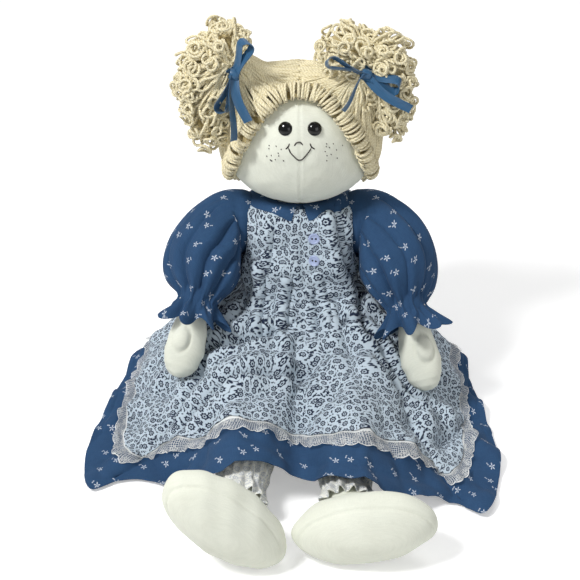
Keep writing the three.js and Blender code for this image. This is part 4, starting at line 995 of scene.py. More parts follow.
# %% Make the lace
along_hem = np.broadcast_to(girth[int(np.argmin(np.abs(fine_rows - LACE_ROW)))], flat_uv.shape[:2])
lace_down = np.broadcast_to(((fine_rows - PINAFORE_ROW) * LACE_WIDTH)[:, None], flat_uv.shape[:2])
lace_uv = np.stack([along_hem, lace_down], -1)
flute = smooth_share(ROWS, PINAFORE_ROW - 0.2, LACE_ROW)
flute = flute * (2.6 + 2.4 * np.sin(2 * np.pi * along_hem[:, :-1] / 23 + 2 * ripples(base, 8, 90)))
for side, name in HANDS:
    place = (SPANS[side], lace_uv, flute)
    edging = drape_piece(f"pinafore_lace_{name}", lace, DRESS_RISE + 1.1, LACE_ROWS, *place)
    lay_over_leg(edging, side, DRESS_RISE)
    assign(edging, None, "lace", "pinafore_lace")
    cloth_sheet(edging, 0.62)

# %% [markdown]
# ## Collar and buttons
# The collar is two wings that lie round the neck on the pinafore, cut to points in front. The
# buttons are small lathe-turned discs with a dished middle and two holes; a dark disc in each hole
# is painted shade.

# %% Read the drape at any place
def drape_at(row, column, rise):
    """A point on the drape between its rows and columns, raised along the normal."""
    r = np.interp(row, fine_rows, np.arange(len(fine_rows)))
    c = (column % COLUMNS) * FINE
    r0, c0 = np.minimum(r.astype(int), len(fine_rows) - 2), c.astype(int) % (COLUMNS * FINE)
    c1 = (c0 + 1) % (COLUMNS * FINE)
    fr, fc = (r - r0)[..., None], (c - np.floor(c))[..., None]

    def read(grid):
        """Values of a grid, mixed from the four points round each place."""
        upper = grid[r0, c0] * (1 - fc) + grid[r0, c1] * fc
        lower = grid[r0 + 1, c0] * (1 - fc) + grid[r0 + 1, c1] * fc
        return upper * (1 - fr) + lower * fr

    normal = unit(read(drape_normals))
    return read(drape) + normal * np.asarray(rise)[..., None], normal


# %% Make the collar and buttons
COLLAR_TOP, COLLAR_RISE = 0.55, 3.9
for side, name in HANDS:
    turn, out = np.meshgrid(np.linspace(0, 1, 97), np.linspace(0, 1, 15), indexing="ij")
    edge = 1.5 + 0.1 * smooth_share(turn, 0.12, 0.5) + 0.5 * (1 - smooth_share(turn, 0, 0.16))
    row = COLLAR_TOP + (edge - COLLAR_TOP) * out
    column = side * (0.4 + turn * (COLUMNS / 2 - 0.8))
    roll = COLLAR_RISE + 1.0 * np.sin(np.pi * out) * (1 - 0.5 * out)
    wing, _ = drape_at(row, column, roll)
    place = np.stack([lengths(wing, 0) + 200 * side, lengths(wing, 1)], -1)
    collar = thicken(surface(f"collar_{name}_cloth", wing, place, blue_calico, turn=side > 0), 1.0)
    assign(collar, "torso", "blue_calico", "collar_" + name)
    cloth_sheet(collar, 0.15)


def plastic(name, dark, light, roughness, coat):
    """Moulded plastic, hardly clouded."""
    return clouded(name, dark, light, roughness, 0.7, 3.0, 0.03, coat=coat, gloss=0.5)


button_plastic = plastic("button_plastic", linear(146, 160, 200), linear(184, 196, 226), 0.35, 0.3)
# A near-black finish for the discs in the button holes: painted shade, where the holes lie in shadow.
painted_hole_shade = plastic("painted_hole_shade", linear(10, 16, 32), linear(24, 32, 54), 0.8, 0.0)
eye_plastic = plastic("eye_plastic", linear(3, 3, 4), linear(8, 8, 10), 0.1, 0.0)
washer_plastic = plastic("washer_plastic", linear(206, 206, 200), linear(232, 232, 226), 0.5, 0.0)


def upright_frame(direction):
    """Two directions square to each of the given directions."""
    direction = direction / np.linalg.norm(direction)
    right = np.cross(direction, [0, 0, 1.0])
    right /= np.linalg.norm(right)
    return direction, right, np.cross(right, direction)


def turned(name, centre, direction, radii, heights, material, around=48, dips=None):
    """A disc turned on a lathe, with its axis along a direction; dips(x, y) lowers its top."""
    axis, right, up = upright_frame(np.asarray(direction, float))
    angle = ring_angles(around)
    x, y = radii[:, None] * np.cos(angle), radii[:, None] * np.sin(angle)
    z = np.broadcast_to(heights[:, None], x.shape).copy()
    if dips is not None:
        z -= dips(x, y) * (np.arange(len(radii)) > len(radii) // 3)[:, None]
    grid = centre + x[..., None] * right + y[..., None] * up + z[..., None] * axis
    place = np.stack([np.append(x, x[:, :1], 1), np.append(y, y[:, :1], 1)], -1)
    return surface(name, grid, place, material, wrap=True, caps=True)


BUTTON_DIAMETER, BUTTON_THICK, HOLE_ACROSS, HOLE_RADIUS = 11.6, 2.6, 1.85, 1.0
rim_shape = np.array([
    [0.02, 0], [0.5, 0], [0.88, 0.05], [0.99, 0.3], [1, 0.5], [0.97, 0.72], [0.86, 0.9], [0.74, 0.86],
    [0.66, 0.66],
])
dish = np.stack([np.linspace(0.62, 0.02, 26), np.full(26, 0.56)], -1)
button_shape = np.concatenate([rim_shape, dish])


def holes(x, y):
    """Dips of 0.9 mm at the two holes."""
    far = np.minimum(np.hypot(x - HOLE_ACROSS, y), np.hypot(x + HOLE_ACROSS, y))
    return 0.9 * (1 - smooth_share(far, 0.9, 1.1))


for name, row, column in (("upper", 2.73, 0.72), ("lower", 3.5, 0.83)):
    seat, normal = drape_at(np.array(row), np.array(column), 3.6)
    radii, heights = button_shape[:, 0] * (BUTTON_DIAMETER / 2), button_shape[:, 1] * BUTTON_THICK
    button = turned(f"button_{name}_disc", seat, normal, radii, heights, button_plastic, 72, holes)
    assign(button, "torso", "button_plastic", "button_" + name)
    _, across, _ = upright_frame(normal)
    for hand, end in HANDS[::-1]:
        # In each hole lies a flat dark disc: painted shade.
        hole_at = seat + hand * HOLE_ACROSS * across + 1.0 * normal
        radii, heights = np.linspace(HOLE_RADIUS, 0.02, 8), np.full(8, 0.15)
        hole_shade_disc = turned(f"button_{name}_hole_{end}", hole_at, normal, radii, heights, painted_hole_shade, 32)
        assign(hole_shade_disc, "torso", "button_plastic")

# %% [markdown]
# ## Stuffed muslin
# Torso, head, arms, legs and feet are plain-woven muslin filled with fibre until it is round. The
# head is the same superellipsoid as its CAD solid: a ring's radius share is
# (1 - |l|^2.25)^(1/2.25) at a level l from -1 to 1, a little fuller below, where the cheeks are,
# and its crown is lower than its chin is deep.

# %% Muslin and ink
HEAD_CENTRE = np.array([0, 12, 269.5])
HEAD_HALVES = np.array([72, 62, 70])
HEAD_POWER, CROWN = 2.25, 0.82


def make_muslin():
    """Off-white plain weave with faint warmer clouds."""
    material, s, shader = start_material("muslin", 0.9, sheen=0.12)
    place = body_place(s)
    woven = use(s, weave, Place=place, Thread=0.75)
    ground = s.mix(woven["Shade"], linear(200, 204, 191), linear(231, 234, 222))
    stain = s.times(s.noise(place, 0.02, 2.0), 0.25)
    s.feed(shader.inputs["Base Color"], s.mix(stain, ground, linear(216, 212, 186)))
    raise_bump(s, shader, woven["Height"], 0.14)
    return material


muslin = make_muslin()


def head_share(level):
    """Radius share of the head's ring at a level, fuller at the cheeks."""
    level = np.clip(level, -1, 1)
    size = (1 - np.abs(level) ** HEAD_POWER) ** (1 / HEAD_POWER)
    return size * (1 + np.where(level < 0, 0.03, -0.02) * np.abs(level))


def half_rise(rise, extra=0.0):
    """Half height of the head on the side of its middle that a rise lies on."""
    return np.where(np.asarray(rise) > 0, CROWN, 1) * HEAD_HALVES[2] + extra


def face_point(across, rise, extra=0.0):
    """The front of the head at a place across and above its middle."""
    across, rise = np.asarray(across, float), np.asarray(rise, float)
    share = head_share(rise / half_rise(rise, extra))
    sideways = np.minimum(np.abs(across) / (share * (HEAD_HALVES[0] + extra)), 0.995)
    forward = share * (HEAD_HALVES[1] + extra) * np.sqrt(1 - sideways**2)
    return np.stack([HEAD_CENTRE[0] + across, HEAD_CENTRE[1] - forward, HEAD_CENTRE[2] + rise], -1)


def head_rings(level, count, extra=0.0):
    """Rings of the head's form grown by extra, from its middle."""
    angle, share, halves = ring_angles(count), head_share(level)[:, None], HEAD_HALVES + extra
    x, y = share * halves[0] * np.sin(angle), -share * halves[1] * np.cos(angle)
    return rings_at(x, y, level * half_rise(level, extra))


def stuffed(name, grid, body, *nodes, fill=0.8):
    """A closed padded piece of muslin from rings."""
    piece = surface(name, grid, tube_uv(grid), muslin, wrap=True, caps=True)
    assign(piece, body, "muslin", *nodes)


# %% [markdown]
# The head's front and back halves of cloth meet in a seam down the middle, drawn in by its stitches
# and gathered to a small knot at the chin. Both are dents: a narrow bell across the line, and
# spokes round the chin.

# %% Make the head
ball = head_rings(-np.cos(np.pi * np.linspace(0.006, 0.994, 141)), 220)


def stuffed_face(ball, lift=0.0):
    """Points of the head, from its middle, moved by seam, chin gather and lumps of the filling."""
    outward = unit(ball / HEAD_HALVES**2)
    stitch = 1 + 0.35 * np.sin(2 * np.pi * ball[..., 2] / 3.4)
    dent = -0.6 * stitch * np.exp(-((ball[..., 0] / 0.8) ** 2))
    dent = dent + 0.35 * np.exp(-((np.abs(ball[..., 0]) - 2.4) ** 2) / 2.0)
    from_chin = ball - [1.0, -40.0, -56.0]
    near_chin = np.exp(-((np.linalg.norm(from_chin, axis=-1) / 9) ** 2))
    spokes = np.cos(7 * np.arctan2(from_chin[..., 2], from_chin[..., 0]))
    dent = dent + near_chin * (0.9 * spokes - 2.2)
    cheek = np.exp(-(((ball[..., 2] + 42) / 18) ** 2)) * np.abs(outward[..., 0]) ** 1.5
    dent = dent + 4.5 * cheek
    dent = dent + 0.5 * ripples(ball, 21, 60) + 0.16 * ripples(ball, 22, 16)
    return HEAD_CENTRE + ball + outward * (dent + lift)[..., None]


CHIN_BOTTOM = 201.9
head_grid = stuffed_face(ball)
head_grid[..., 2] = np.maximum(head_grid[..., 2], CHIN_BOTTOM)
stuffed("head_cloth", head_grid, "head", "head", fill=0.9)

# %% [markdown]
# The torso fills the bodice and the seat of the pantaloons. It leans back a little as it rises.

# %% Make the torso
torso_heights = np.array([2.2, 4, 10, 22, 45, 75, 105, 140, 170, 186, 194, 198, 200])
torso_widths = np.array([0.5, 0.74, 0.88, 0.95, 0.96, 0.94, 0.86, 0.84, 0.82, 0.74, 0.56, 0.36, 0.3])
torso_depths = np.array([0.5, 0.74, 0.88, 0.95, 0.96, 0.94, 0.9, 0.82, 0.74, 0.66, 0.5, 0.4, 0.34])
TORSO_HEIGHT, TORSO_SQUARENESS = 205, 2.5


def torso_rings(z, extra=0.0):
    """Oval sections of the torso at heights z, grown by extra."""
    width = np.interp(z, torso_heights, torso_widths)[:, None] * TORSO_WIDTH / 2 + extra
    depth = np.interp(z, torso_heights, torso_depths)[:, None] * TORSO_DEPTH / 2 + extra
    middle = (z / TORSO_HEIGHT * TORSO_LEAN)[:, None]
    return rings_at(*oval(np.arange(120) * COLUMNS / 120, width, depth, middle, TORSO_SQUARENESS), z)


stuffed("torso_cloth", torso_rings(np.linspace(2.2, 200, 90)), "torso", "torso")

# %% [markdown]
# ## Eyes and drawn face
# The safety eyes are glossy black domes with their stems through the cloth. Nose, mouth and
# freckles are drawn on in dark ink, so they are thin strokes that follow the face point by point.

# %% Sweep strands
def sweep(name, paths, radius, material, sides=6, reference=None):
    """Tubes along many paths at once: paths is (strands, points, 3), in mm."""
    paths = np.asarray(paths, float)
    tangent = unit(np.gradient(paths, axis=1))
    reference = np.array([0.3, 0.2, 0.93]) if reference is None else reference
    u = unit(np.cross(tangent, np.broadcast_to(reference, tangent.shape)))
    v = np.cross(u, tangent)
    size = np.broadcast_to(radius, paths.shape[:2])[..., None, None]
    rings = paths[:, :, None] + size * circle(ring_angles(sides), u[:, :, None], v[:, :, None])
    strands, points = paths.shape[:2]
    faces = grid_faces(points, sides, True)
    every = (faces[None] + (np.arange(strands) * points * sides)[:, None, None]).reshape(-1, 4)
    run = np.broadcast_to(lengths(paths, 1)[:, :, None], (strands, points, sides + 1))
    turn = np.broadcast_to(np.arange(sides + 1) / sides, (strands, points, sides + 1))
    corners = corner_uv(np.stack([run, turn], -1))
    ends = np.arange(strands)[:, None] * points * sides + np.arange(sides)
    caps = np.concatenate([ends[:, ::-1], ends + (points - 1) * sides])
    polygons = every[:, ::-1].tolist() + caps[:, ::-1].tolist()
    corners = corners.reshape(-1, 4, 2)[:, ::-1].reshape(-1, 2)
    corners = np.concatenate([corners, np.zeros((len(caps) * sides, 2))])
    return make_piece(name, rings.reshape(-1, 3), polygons, corners, material)


ink = clouded("ink", linear(26, 24, 26), linear(84, 78, 74), 0.8, 1.4, 2.0, 0.05)

# %% Make the eyes and the face
EYE_DIAMETER, EYE_ACROSS, EYE_RISE = 13.6, 13.8, 27
DOME_HEIGHT, DOME_SUNK, INK_LIFT = 4.6, 1.5, 0.15
tilt = np.linspace(0.02, 1, 16)
dome_radii = EYE_DIAMETER / 2 * np.concatenate([tilt[::5] * 0.9, np.sin(np.pi / 2 * tilt[::-1])])
dome_heights = np.concatenate([np.full(4, -DOME_SUNK), DOME_HEIGHT * np.cos(np.pi / 2 * tilt[::-1])])
for side, name in HANDS:
    x = side * EYE_ACROSS
    right = face_point(x + 3, EYE_RISE) - face_point(x - 3, EYE_RISE)
    up = face_point(x, EYE_RISE + 3) - face_point(x, EYE_RISE - 3)
    way_out = np.cross(right, up)
    eye = turned(f"eye_{name}_dome", face_point(x, EYE_RISE), way_out, dome_radii, dome_heights, eye_plastic)
    assign(eye, "head", "eye_plastic", "eye_" + name)
    washer = bpy.data.objects["eye_washer_" + name]
    washer.data.materials.clear()
    washer.data.materials.append(washer_plastic)

# Strokes: places across and above the middle of the head
face_strokes = [
    [(-5.4, 12.2), (-3.6, 14.8), (-1.2, 15.8), (1, 15), (2.8, 12.8)],
    [(-11, 11.4), (-9.2, 6.4), (-5.6, 1.8), (-1.8, -1.8), (0.5, -2.2), (2.6, -0.8), (6.2, 3.2), (9.2, 7.4),
     (10.8, 11)],
    [(-9.8, 14.4), (-11, 11.4), (-13.4, 8.8)],
    [(9.4, 14.4), (10.8, 11), (14, 8.4)],
    [(-28.8, -4), (-27.6, -4.8), (-26.2, -5.4)],
]
freckles = np.array([
    (-29.2, 10.2), (-29.4, 7.2), (-22.4, 10.6), (-17.6, 8.2), (-20.4, 4.2), (-20, 1.4), (-31.8, -1.2),
    (-27, 0.8), (-23.4, -3), (-15.6, -3.4), (25.2, 12.2), (25, 9.6), (31.8, 11.2), (28.1, 8.2), (40.8, 7.6),
    (24, 4.8), (35, 4.4), (29.8, 0.8), (25.8, 0.2), (25.6, -5), (36, -4.6),
])
fine_strokes = []
for stroke_points in face_strokes:
    spots = curve_through([(x, y, 0) for x, y in stroke_points], np.linspace(0, 1, 40))
    fine_strokes.append(stuffed_face(face_point(spots[:, 0], spots[:, 1]) - HEAD_CENTRE, INK_LIFT))
taper = 0.62 * np.clip(12 * np.linspace(0, 1, 40), 0.3, 1) * np.clip(12 * np.linspace(1, 0, 40), 0.3, 1)
spots = stuffed_face(face_point(freckles[:, 0], freckles[:, 1]) - HEAD_CENTRE, INK_LIFT)
dots = spots[:, None] + np.linspace(-0.5, 0.5, 7)[None, :, None] * np.array([1.0, 0, 0.3])
dot_size = 0.68 * np.sqrt(np.clip(1 - np.linspace(-0.98, 0.98, 7) ** 2, 0, 1))
for name, paths, size in (("face_strokes", fine_strokes, taper), ("face_freckles", dots, dot_size)):
    assign(sweep(name, paths, size, ink, reference=np.array([0, -1.0, 0.2])), "head", "muslin")

# %% [markdown]
# ## Arms and sleeves
# An arm is a loft along a curve from the shoulder, forward to the lap, with a mitten hand. The
# thumb is an oval lobe stitched off the palm: a dome on the loft with a groove round it. The sleeve
# is a tube on the same curve, full between its two gathers, with a free ruffle below the elastic.

# %% Rings along an arm
SHOULDER_AT = np.array([51.55, 8, 170])
arm_path = SHOULDER_AT + np.array([71, 110, 117]) * np.array([
    [0, 0, 0], [0.3, -0.02, -0.02], [0.6, -0.3, -0.2], [0.73, -0.66, -0.42], [0.86, -0.86, -0.72],
    [1, -1, -1],
])
arm_shares = np.array([
    [0, 0.94, 0.94, 2], [0.1, 1, 1, 2], [0.3, 0.96, 0.96, 2], [0.46, 0.8, 0.8, 2], [0.6, 0.66, 0.66, 2],
    [0.66, 0.68, 0.6, 2.1], [0.72, 0.82, 0.62, 2.3], [0.79, 0.95, 0.64, 2.4], [0.86, 1, 0.66, 2.4],
    [0.93, 0.86, 0.58, 2.3], [0.965, 0.66, 0.46, 2.2], [0.985, 0.44, 0.3, 2.1], [0.998, 0.12, 0.09, 2],
])
ARM_HALF = 20
LEFT_REACH = 1.08  # the left hand lies further down the lap than the right one


def arm_rings(places, side, around):
    """Middle, u and v of the sections across an arm, and the angles round them."""
    path = SHOULDER_AT + (arm_path - SHOULDER_AT) * (LEFT_REACH if side > 0 else 1)
    ahead = curve_through(path, np.minimum(places + 0.004, 1))
    behind = curve_through(path, np.maximum(places - 0.004, 0))
    tangent = unit(ahead - behind)
    v = unit(np.cross(tangent, [0, 1.0, 0]))
    u = np.cross(v, tangent)
    mirror = np.array([side, 1, 1])
    return curve_through(path, places) * mirror, u * mirror, v * mirror, np.pi + ring_angles(around)


THUMB_SIDE = 7  # of the thumb from the middle of the palm, away from the body
for side, name in HANDS:
    places = np.concatenate([np.linspace(0, 0.9, 70), 1 - 0.1 * np.linspace(0.97, 0.14, 30) ** 1.4])
    centre, u, v, angle = arm_rings(places, side, 96)
    shares = (np.interp(places, arm_shares[:, 0], arm_shares[:, k])[:, None] for k in (1, 2, 3))
    width, thick, squareness = shares
    across = ARM_HALF * width * power(np.cos(angle), 2 / squareness)
    fore = ARM_HALF * thick * power(np.sin(angle), 2 / squareness)
    grid = centre[:, None] + across[..., None] * v[:, None] + fore[..., None] * u[:, None]
    # the thumb: an oval on the outer front of the palm
    along = (places[:, None] - 0.79) * 190
    off = np.sqrt((along / 12) ** 2 + ((across - THUMB_SIDE) / 8.5) ** 2) + 4 * (fore > 0)
    lobe = 3.8 * np.sqrt(np.clip(1 - off**2, 0, 1)) - 1.3 * np.exp(-(((off - 1.06) / 0.12) ** 2))
    edge_line = np.exp(-((fore / 0.9) ** 2)) * (places[:, None] > 0.55)
    normal = normals_of(grid)
    inward = ((grid - centre[:, None]) * normal).sum(-1).mean() < 0
    normal = -normal if inward else normal
    dent = lobe - 0.6 * edge_line + 0.3 * ripples(grid, 31, 22) * smooth_share(places, 0, 0.2)[:, None]
    grid = grid + normal * dent[..., None]
    grid[..., 0] = side * np.maximum(side * grid[..., 0], SHOULDER_AT[0])
    stuffed(f"arm_{name}_cloth", grid, "arm_" + name, "arm_" + name)

# %% Make the sleeves
sleeve_shares = np.array([
    [0.06, 1], [0.12, 1.12], [0.2, 1.27], [0.3, 1.33], [0.41, 1.24], [0.5, 1], [0.56, 0.7], [0.6, 0.53],
    [0.635, 0.7], [0.69, 0.94],
])
SLEEVE_HALF, SLEEVE_SEAM, SLEEVE_INNER = 33, 59.35, 18.2
SLEEVE_TOP, ELASTIC_AT, RUFFLE_END = 0.06, 0.6, 0.69
ELASTIC_RING, ELASTIC_HALF = 15.6, 1.1


def make_elastic():
    """Off-white cord with a woven cover."""
    material, s, shader = start_material("elastic", 0.8)
    woven = use(s, weave, Place=body_place(s), Thread=0.5)
    cover = s.mix(woven["Shade"], linear(196, 196, 190), linear(230, 230, 224))
    s.feed(shader.inputs["Base Color"], cover)
    raise_bump(s, shader, woven["Height"], 0.1)
    return material


elastic_cord = make_elastic()
outline = np.column_stack([sleeve_shares * [100, SLEEVE_HALF], np.zeros(len(sleeve_shares))])
outline = curve_through(outline, np.linspace(0, 1, 400))
for side, name in HANDS:
    places = np.concatenate([np.linspace(-0.02, 0.055, 8), np.linspace(SLEEVE_TOP, RUFFLE_END, 90)])
    centre, u, v, angle = arm_rings(np.maximum(places, SLEEVE_TOP), side, 240)
    radius = np.interp(places * 100, outline[:, 0], outline[:, 1])[:, None]
    tucked = np.clip((SLEEVE_TOP - places) / 0.08, 0, 1)
    radius = radius - 5 * tucked[:, None] ** 1.5
    gather = np.exp(-(((places - ELASTIC_AT) / 0.05) ** 2))[:, None]
    head_pleat = np.exp(-(((places - 0.08) / 0.07) ** 2))[:, None]
    flare = smooth_share(places, 0.61, RUFFLE_END)[:, None]
    spots = np.broadcast_arrays(np.cos(angle) * 20, np.sin(angle) * 20, places[:, None] * 60)
    wander = ripples(np.stack(spots, -1), 40 + side, 30)
    phase = angle + 0.05 * wander
    pleat = (0.9 * gather + 0.4 * head_pleat) * np.sin(26 * phase)
    pleat = pleat + (1.4 * gather + 1.1) * np.sin(11 * phase + 1.3)
    pleat = pleat * smooth_share(places, SLEEVE_TOP, 0.14)[:, None] + flare * 8.5 * np.sin(8 * phase + side)
    pleat = pleat + 1.5 * wander * smooth_share(places, 0.1, 0.3)[:, None] * (1 - gather)
    # broad puffs with sharp valleys between them, from the shoulder down to the elastic
    puff = np.abs(np.sin(4.5 * phase + 2.5 * places[:, None] + side)) ** 0.6
    puff = puff * (0.8 + 0.2 * np.sin(2 * phase))
    full = (smooth_share(places, 0.07, 0.2) * (1 - smooth_share(places, 0.56, 0.61)))[:, None]
    reach = np.maximum(radius + (pleat + (10 * puff - 8) * full), SLEEVE_INNER)
    grid = centre[:, None] + reach[..., None] * circle(angle, v[:, None], u[:, None])
    axis = unit(centre[-1] - centre[-2])
    grid += axis * (flare * 4.5 * np.sin(8 * phase + side + 0.8))[..., None]
    # a soft wall at the armhole's seam, and the head of the sleeve tucked in past it
    wall = SLEEVE_SEAM + 2 * smooth_share(places, SLEEVE_TOP, 0.1)[:, None]
    past = (side * grid[..., 0] - wall) / 5
    grid[..., 0] = side * (wall + 5 * np.logaddexp(0, past) - 2)
    inner = places <= SLEEVE_TOP
    grid[inner, :, 0] = (side * (SLEEVE_SEAM - 13 * tucked[inner]))[:, None]
    place = tube_uv(grid)
    place[..., 0] = np.append(angle, 2 * np.pi) * 36
    sleeve = surface(f"sleeve_{name}_cloth", grid, place, blue_calico, wrap=True, turn=side > 0)
    thicken(sleeve, 0.7)
    assign(sleeve, "arm_" + name, "blue_calico", "sleeve_" + name)
    cloth_sheet(sleeve, 0.3)
    middle, ru, rv, _ = arm_rings(np.array([ELASTIC_AT]), side, 8)
    loop = middle + ELASTIC_RING * circle(np.linspace(0, 2 * np.pi, 65), rv, ru)
    band = sweep(f"sleeve_elastic_{name}_cord", loop[None], ELASTIC_HALF, elastic_cord)
    assign(band, "arm_" + name, "elastic", "sleeve_elastic_" + name)

# %% [markdown]
# ## Legs, feet and pantaloons
# The legs lie flat in front, each a round tube that thins to a hinge seam at the hip. The feet are
# stuffed ovals that fall outwards, seamed round their edge. Printed pantaloons with ruffled cuffs
# cover the legs down to the ankles, and their seat goes under the torso.

# %% Make legs and feet
HIP_SEAM_Y, LEG_HALF = -55.45, 31
leg_shares = np.array([
    [-0.019, 0.66, 0.03, 0], [-0.009, 0.74, 0.075, 0], [0, 0.78, 0.097, 0], [0.04, 0.86, 0.35, 0.1],
    [0.1, 0.95, 0.7, 0.45], [0.18, 1, 0.97, 0.95], [0.32, 1, 0.98, 1], [0.5, 0.92, 0.9, 0.94],
    [0.7, 0.8, 0.78, 0.84], [0.87, 0.67, 0.65, 0.7], [1, 0.6, 0.6, 0.65], [1.1, 0.64, 0.62, 0.67],
])
leg_poses = {"left": (1, 1.43, 0.2, 0.6, 0), "right": (-1, 0.835, 0.62, 0.86, 0.2)}
FOOT_HALVES = np.array([33, 28, 64])
LEG_SPREAD, LEG_CLEARANCE, LEG_SQUARENESS = 32, 2.1, 2.1
PANTALOON_RISE, SEAT_RISE = 1.75, 2.4


def leg_rings(pose, places, extra, around):
    """Oval sections of a leg, lying on the floor, with cloth of `extra` over the muslin."""
    side, _, ankle, _, _ = pose
    width, thick, rise = (np.interp(places, leg_shares[:, 0], leg_shares[:, k]) for k in (1, 2, 3))
    x = side * (HIP_SPACING / 2 + ankle * LEG_SPREAD * np.maximum(places, 0))
    low = LEG_HALF * thick + LEG_CLEARANCE
    rising = HIP_Z + (LEG_HALF + LEG_CLEARANCE - HIP_Z) * np.minimum(rise, 1)
    middle = np.where(rise > 0.6, low, rising)
    angle = ring_angles(around)
    across = power(np.cos(angle), 2 / LEG_SQUARENESS) * (LEG_HALF * width + extra)[:, None]
    up = power(np.sin(angle), 2 / LEG_SQUARENESS) * (LEG_HALF * thick + extra)[:, None]
    y = np.broadcast_to((HIP_SEAM_Y - places * LEG_LENGTH)[:, None], across.shape)
    return np.stack([x[:, None] + across, y, middle[:, None] + up], -1)


for name, pose in leg_poses.items():
    side, toe_turn, _, foot_at, forward = pose
    body = "leg_" + name
    stuffed(f"leg_{name}_cloth", leg_rings(pose, np.linspace(-0.019, 1.1, 110), 0, 72), body, body)
    lift = math.hypot(FOOT_HALVES[2] * math.cos(toe_turn), FOOT_HALVES[0] * math.sin(toe_turn))
    ankle_y = HIP_SEAM_Y - LEG_LENGTH
    middle = np.array([
        side * (HIP_SPACING / 2 + foot_at * LEG_SPREAD), ankle_y - 38 * (1 + forward) + 0.35, lift
    ])
    foot = unit_ball(np.pi * np.linspace(0.012, 0.988, 90), ring_angles(120)) * FOOT_HALVES
    seam = -1.3 * np.exp(-(((foot[..., 1] + 11) / 1.1) ** 2)) * (1 + 0.3 * np.sin(foot[..., 2] * 1.6))
    foot += unit(foot / FOOT_HALVES**2) * (seam + 0.5 * ripples(foot, 50 + side, 34))[..., None]
    turn = side * toe_turn
    x = foot[..., 0] * math.cos(turn) + foot[..., 2] * math.sin(turn)
    z = -foot[..., 0] * math.sin(turn) + foot[..., 2] * math.cos(turn)
    foot_grid = np.stack([x, foot[..., 1], z], -1) + middle
    foot_grid[..., 2] = np.maximum(foot_grid[..., 2], 0.35)
    stuffed(f"foot_{name}_cloth", foot_grid, body)

# %% Make the pantaloons
for name, pose in leg_poses.items():
    places = np.concatenate([np.linspace(0.18, 0.87, 60), np.linspace(0.875, 0.99, 24)])
    angle = ring_angles(160)
    rings = leg_rings(pose, places, PANTALOON_RISE, 160)
    away = unit(rings - rings.mean(1, keepdims=True))
    flare = smooth_share(places, 0.88, 0.99)[:, None]
    wave = flare * (4.5 + 3.5 * np.sin(14 * angle + pose[0]))
    wave = wave + 0.9 * np.sin(18 * angle) * (places[:, None] > 0.3)
    wave += 0.7 * ripples(rings, 60, 26)
    rings = rings + away * np.maximum(wave, -1.2)[..., None]
    rings[..., 2] = np.maximum(rings[..., 2], 0.6)
    trouser = surface(f"pantaloons_leg_{name}_cloth", rings, tube_uv(rings), pantaloon_print, wrap=True)
    thicken(trouser, 0.8)
    assign(trouser, "leg_" + name, "pantaloon_print", "pantaloons_leg_" + name)
    cloth_sheet(trouser, 0.22)

seat_grid = torso_rings(np.concatenate([[0.4, 0.4], np.linspace(0.6, 74.7, 40)]), SEAT_RISE)
seat_grid[0, :, :2] *= 0.05
seat = surface("pantaloons_seat_cloth", seat_grid, tube_uv(seat_grid), pantaloon_print, wrap=True, turn=True)
assign(seat, "torso", "pantaloon_print", "pantaloons_seat")
cloth_sheet(seat, 0.38)

# %% [markdown]
# ## Yarn hair
# Each strand of the hair is a real strand here, swept along its own path. The yarn's twist is in
# its finish: a sine of the distance along the strand and the angle round it, which raises the plies
# and paints light on them and shade between them. The combed strands start at the hairline, at the
# parting and at the nape, and run over the skull to the nearer tie.

# %% Yarn finish
YARN = 1.25


def make_yarn(name, dark, light):
    """Twisted cotton: painted light on the plies and painted shade between them turn round the strand once
    in 3.2 mm, and fine hairs of varied tone cross them.
    """
    material, s, shader = start_material(name, 0.95, sheen=0.3)
    along, turn, _ = s.parts(cloth_place(s))
    # The twist's light and dark bands are painted light and shade of the plies, and its relief as well.
    phase = s.plus(s.times(along, 2 * math.pi / 3.2), s.times(turn, 4 * math.pi))
    twist_light_and_shade = s.plus(s.times(s.sum("SINE", phase), 0.5), 0.5)
    hairs = s.noise(body_place(s), 1.6, 4.0)
    shade = s.plus(s.times(twist_light_and_shade, 0.42), s.times(hairs, 0.7))
    s.feed(shader.inputs["Base Color"], s.mix(shade, dark, light))
    raise_bump(s, shader, shade, 0.5)
    return material


yarn = make_yarn("yarn", linear(188, 172, 128), linear(245, 238, 208))
# Darker yarn for the cap under the strands and the balls inside the bunches: painted shade.
painted_shade_yarn = make_yarn("painted_shade_yarn", linear(150, 134, 92), linear(204, 188, 142))


# %% Comb the strands
def skull(direction, extra):
    """Distance from the head's middle to a skull grown by extra, along unit directions."""
    halves = HEAD_HALVES + extra
    flat = np.hypot(direction[..., 0] / halves[0], direction[..., 1] / halves[1])
    up = np.abs(direction[..., 2]) / half_rise(direction[..., 2], extra)
    return (flat**HEAD_POWER + up**HEAD_POWER) ** (-1 / HEAD_POWER)


def between(first, last, share):
    """Directions along the great circle from first to last (spherical interpolation)."""
    apart = np.arccos(np.clip((first * last).sum(-1), -1, 1))[..., None]
    return (np.sin((1 - share) * apart) * first + np.sin(share * apart) * last) / np.sin(apart)


def away_from_face(direction, millimetres):
    """Directions turned away from the middle of the face, by a distance along the skull."""
    ahead = np.array([0, -1.0, 0])
    turn = np.arccos(direction @ ahead)[..., None]
    aside = unit(direction - (direction @ ahead)[..., None] * ahead)
    turn = turn + np.broadcast_to(millimetres, direction.shape[:-1])[..., None] / HEAD_HALVES[0]
    return np.cos(turn) * ahead + np.sin(turn) * aside


TIE = np.array([64, -12, 349.5])


def tie_at(side):
    """Where a bunch is tied, and the direction to it from the head's middle."""
    tie = TIE * [side, 1, 1]
    return tie, unit(tie - HEAD_CENTRE)


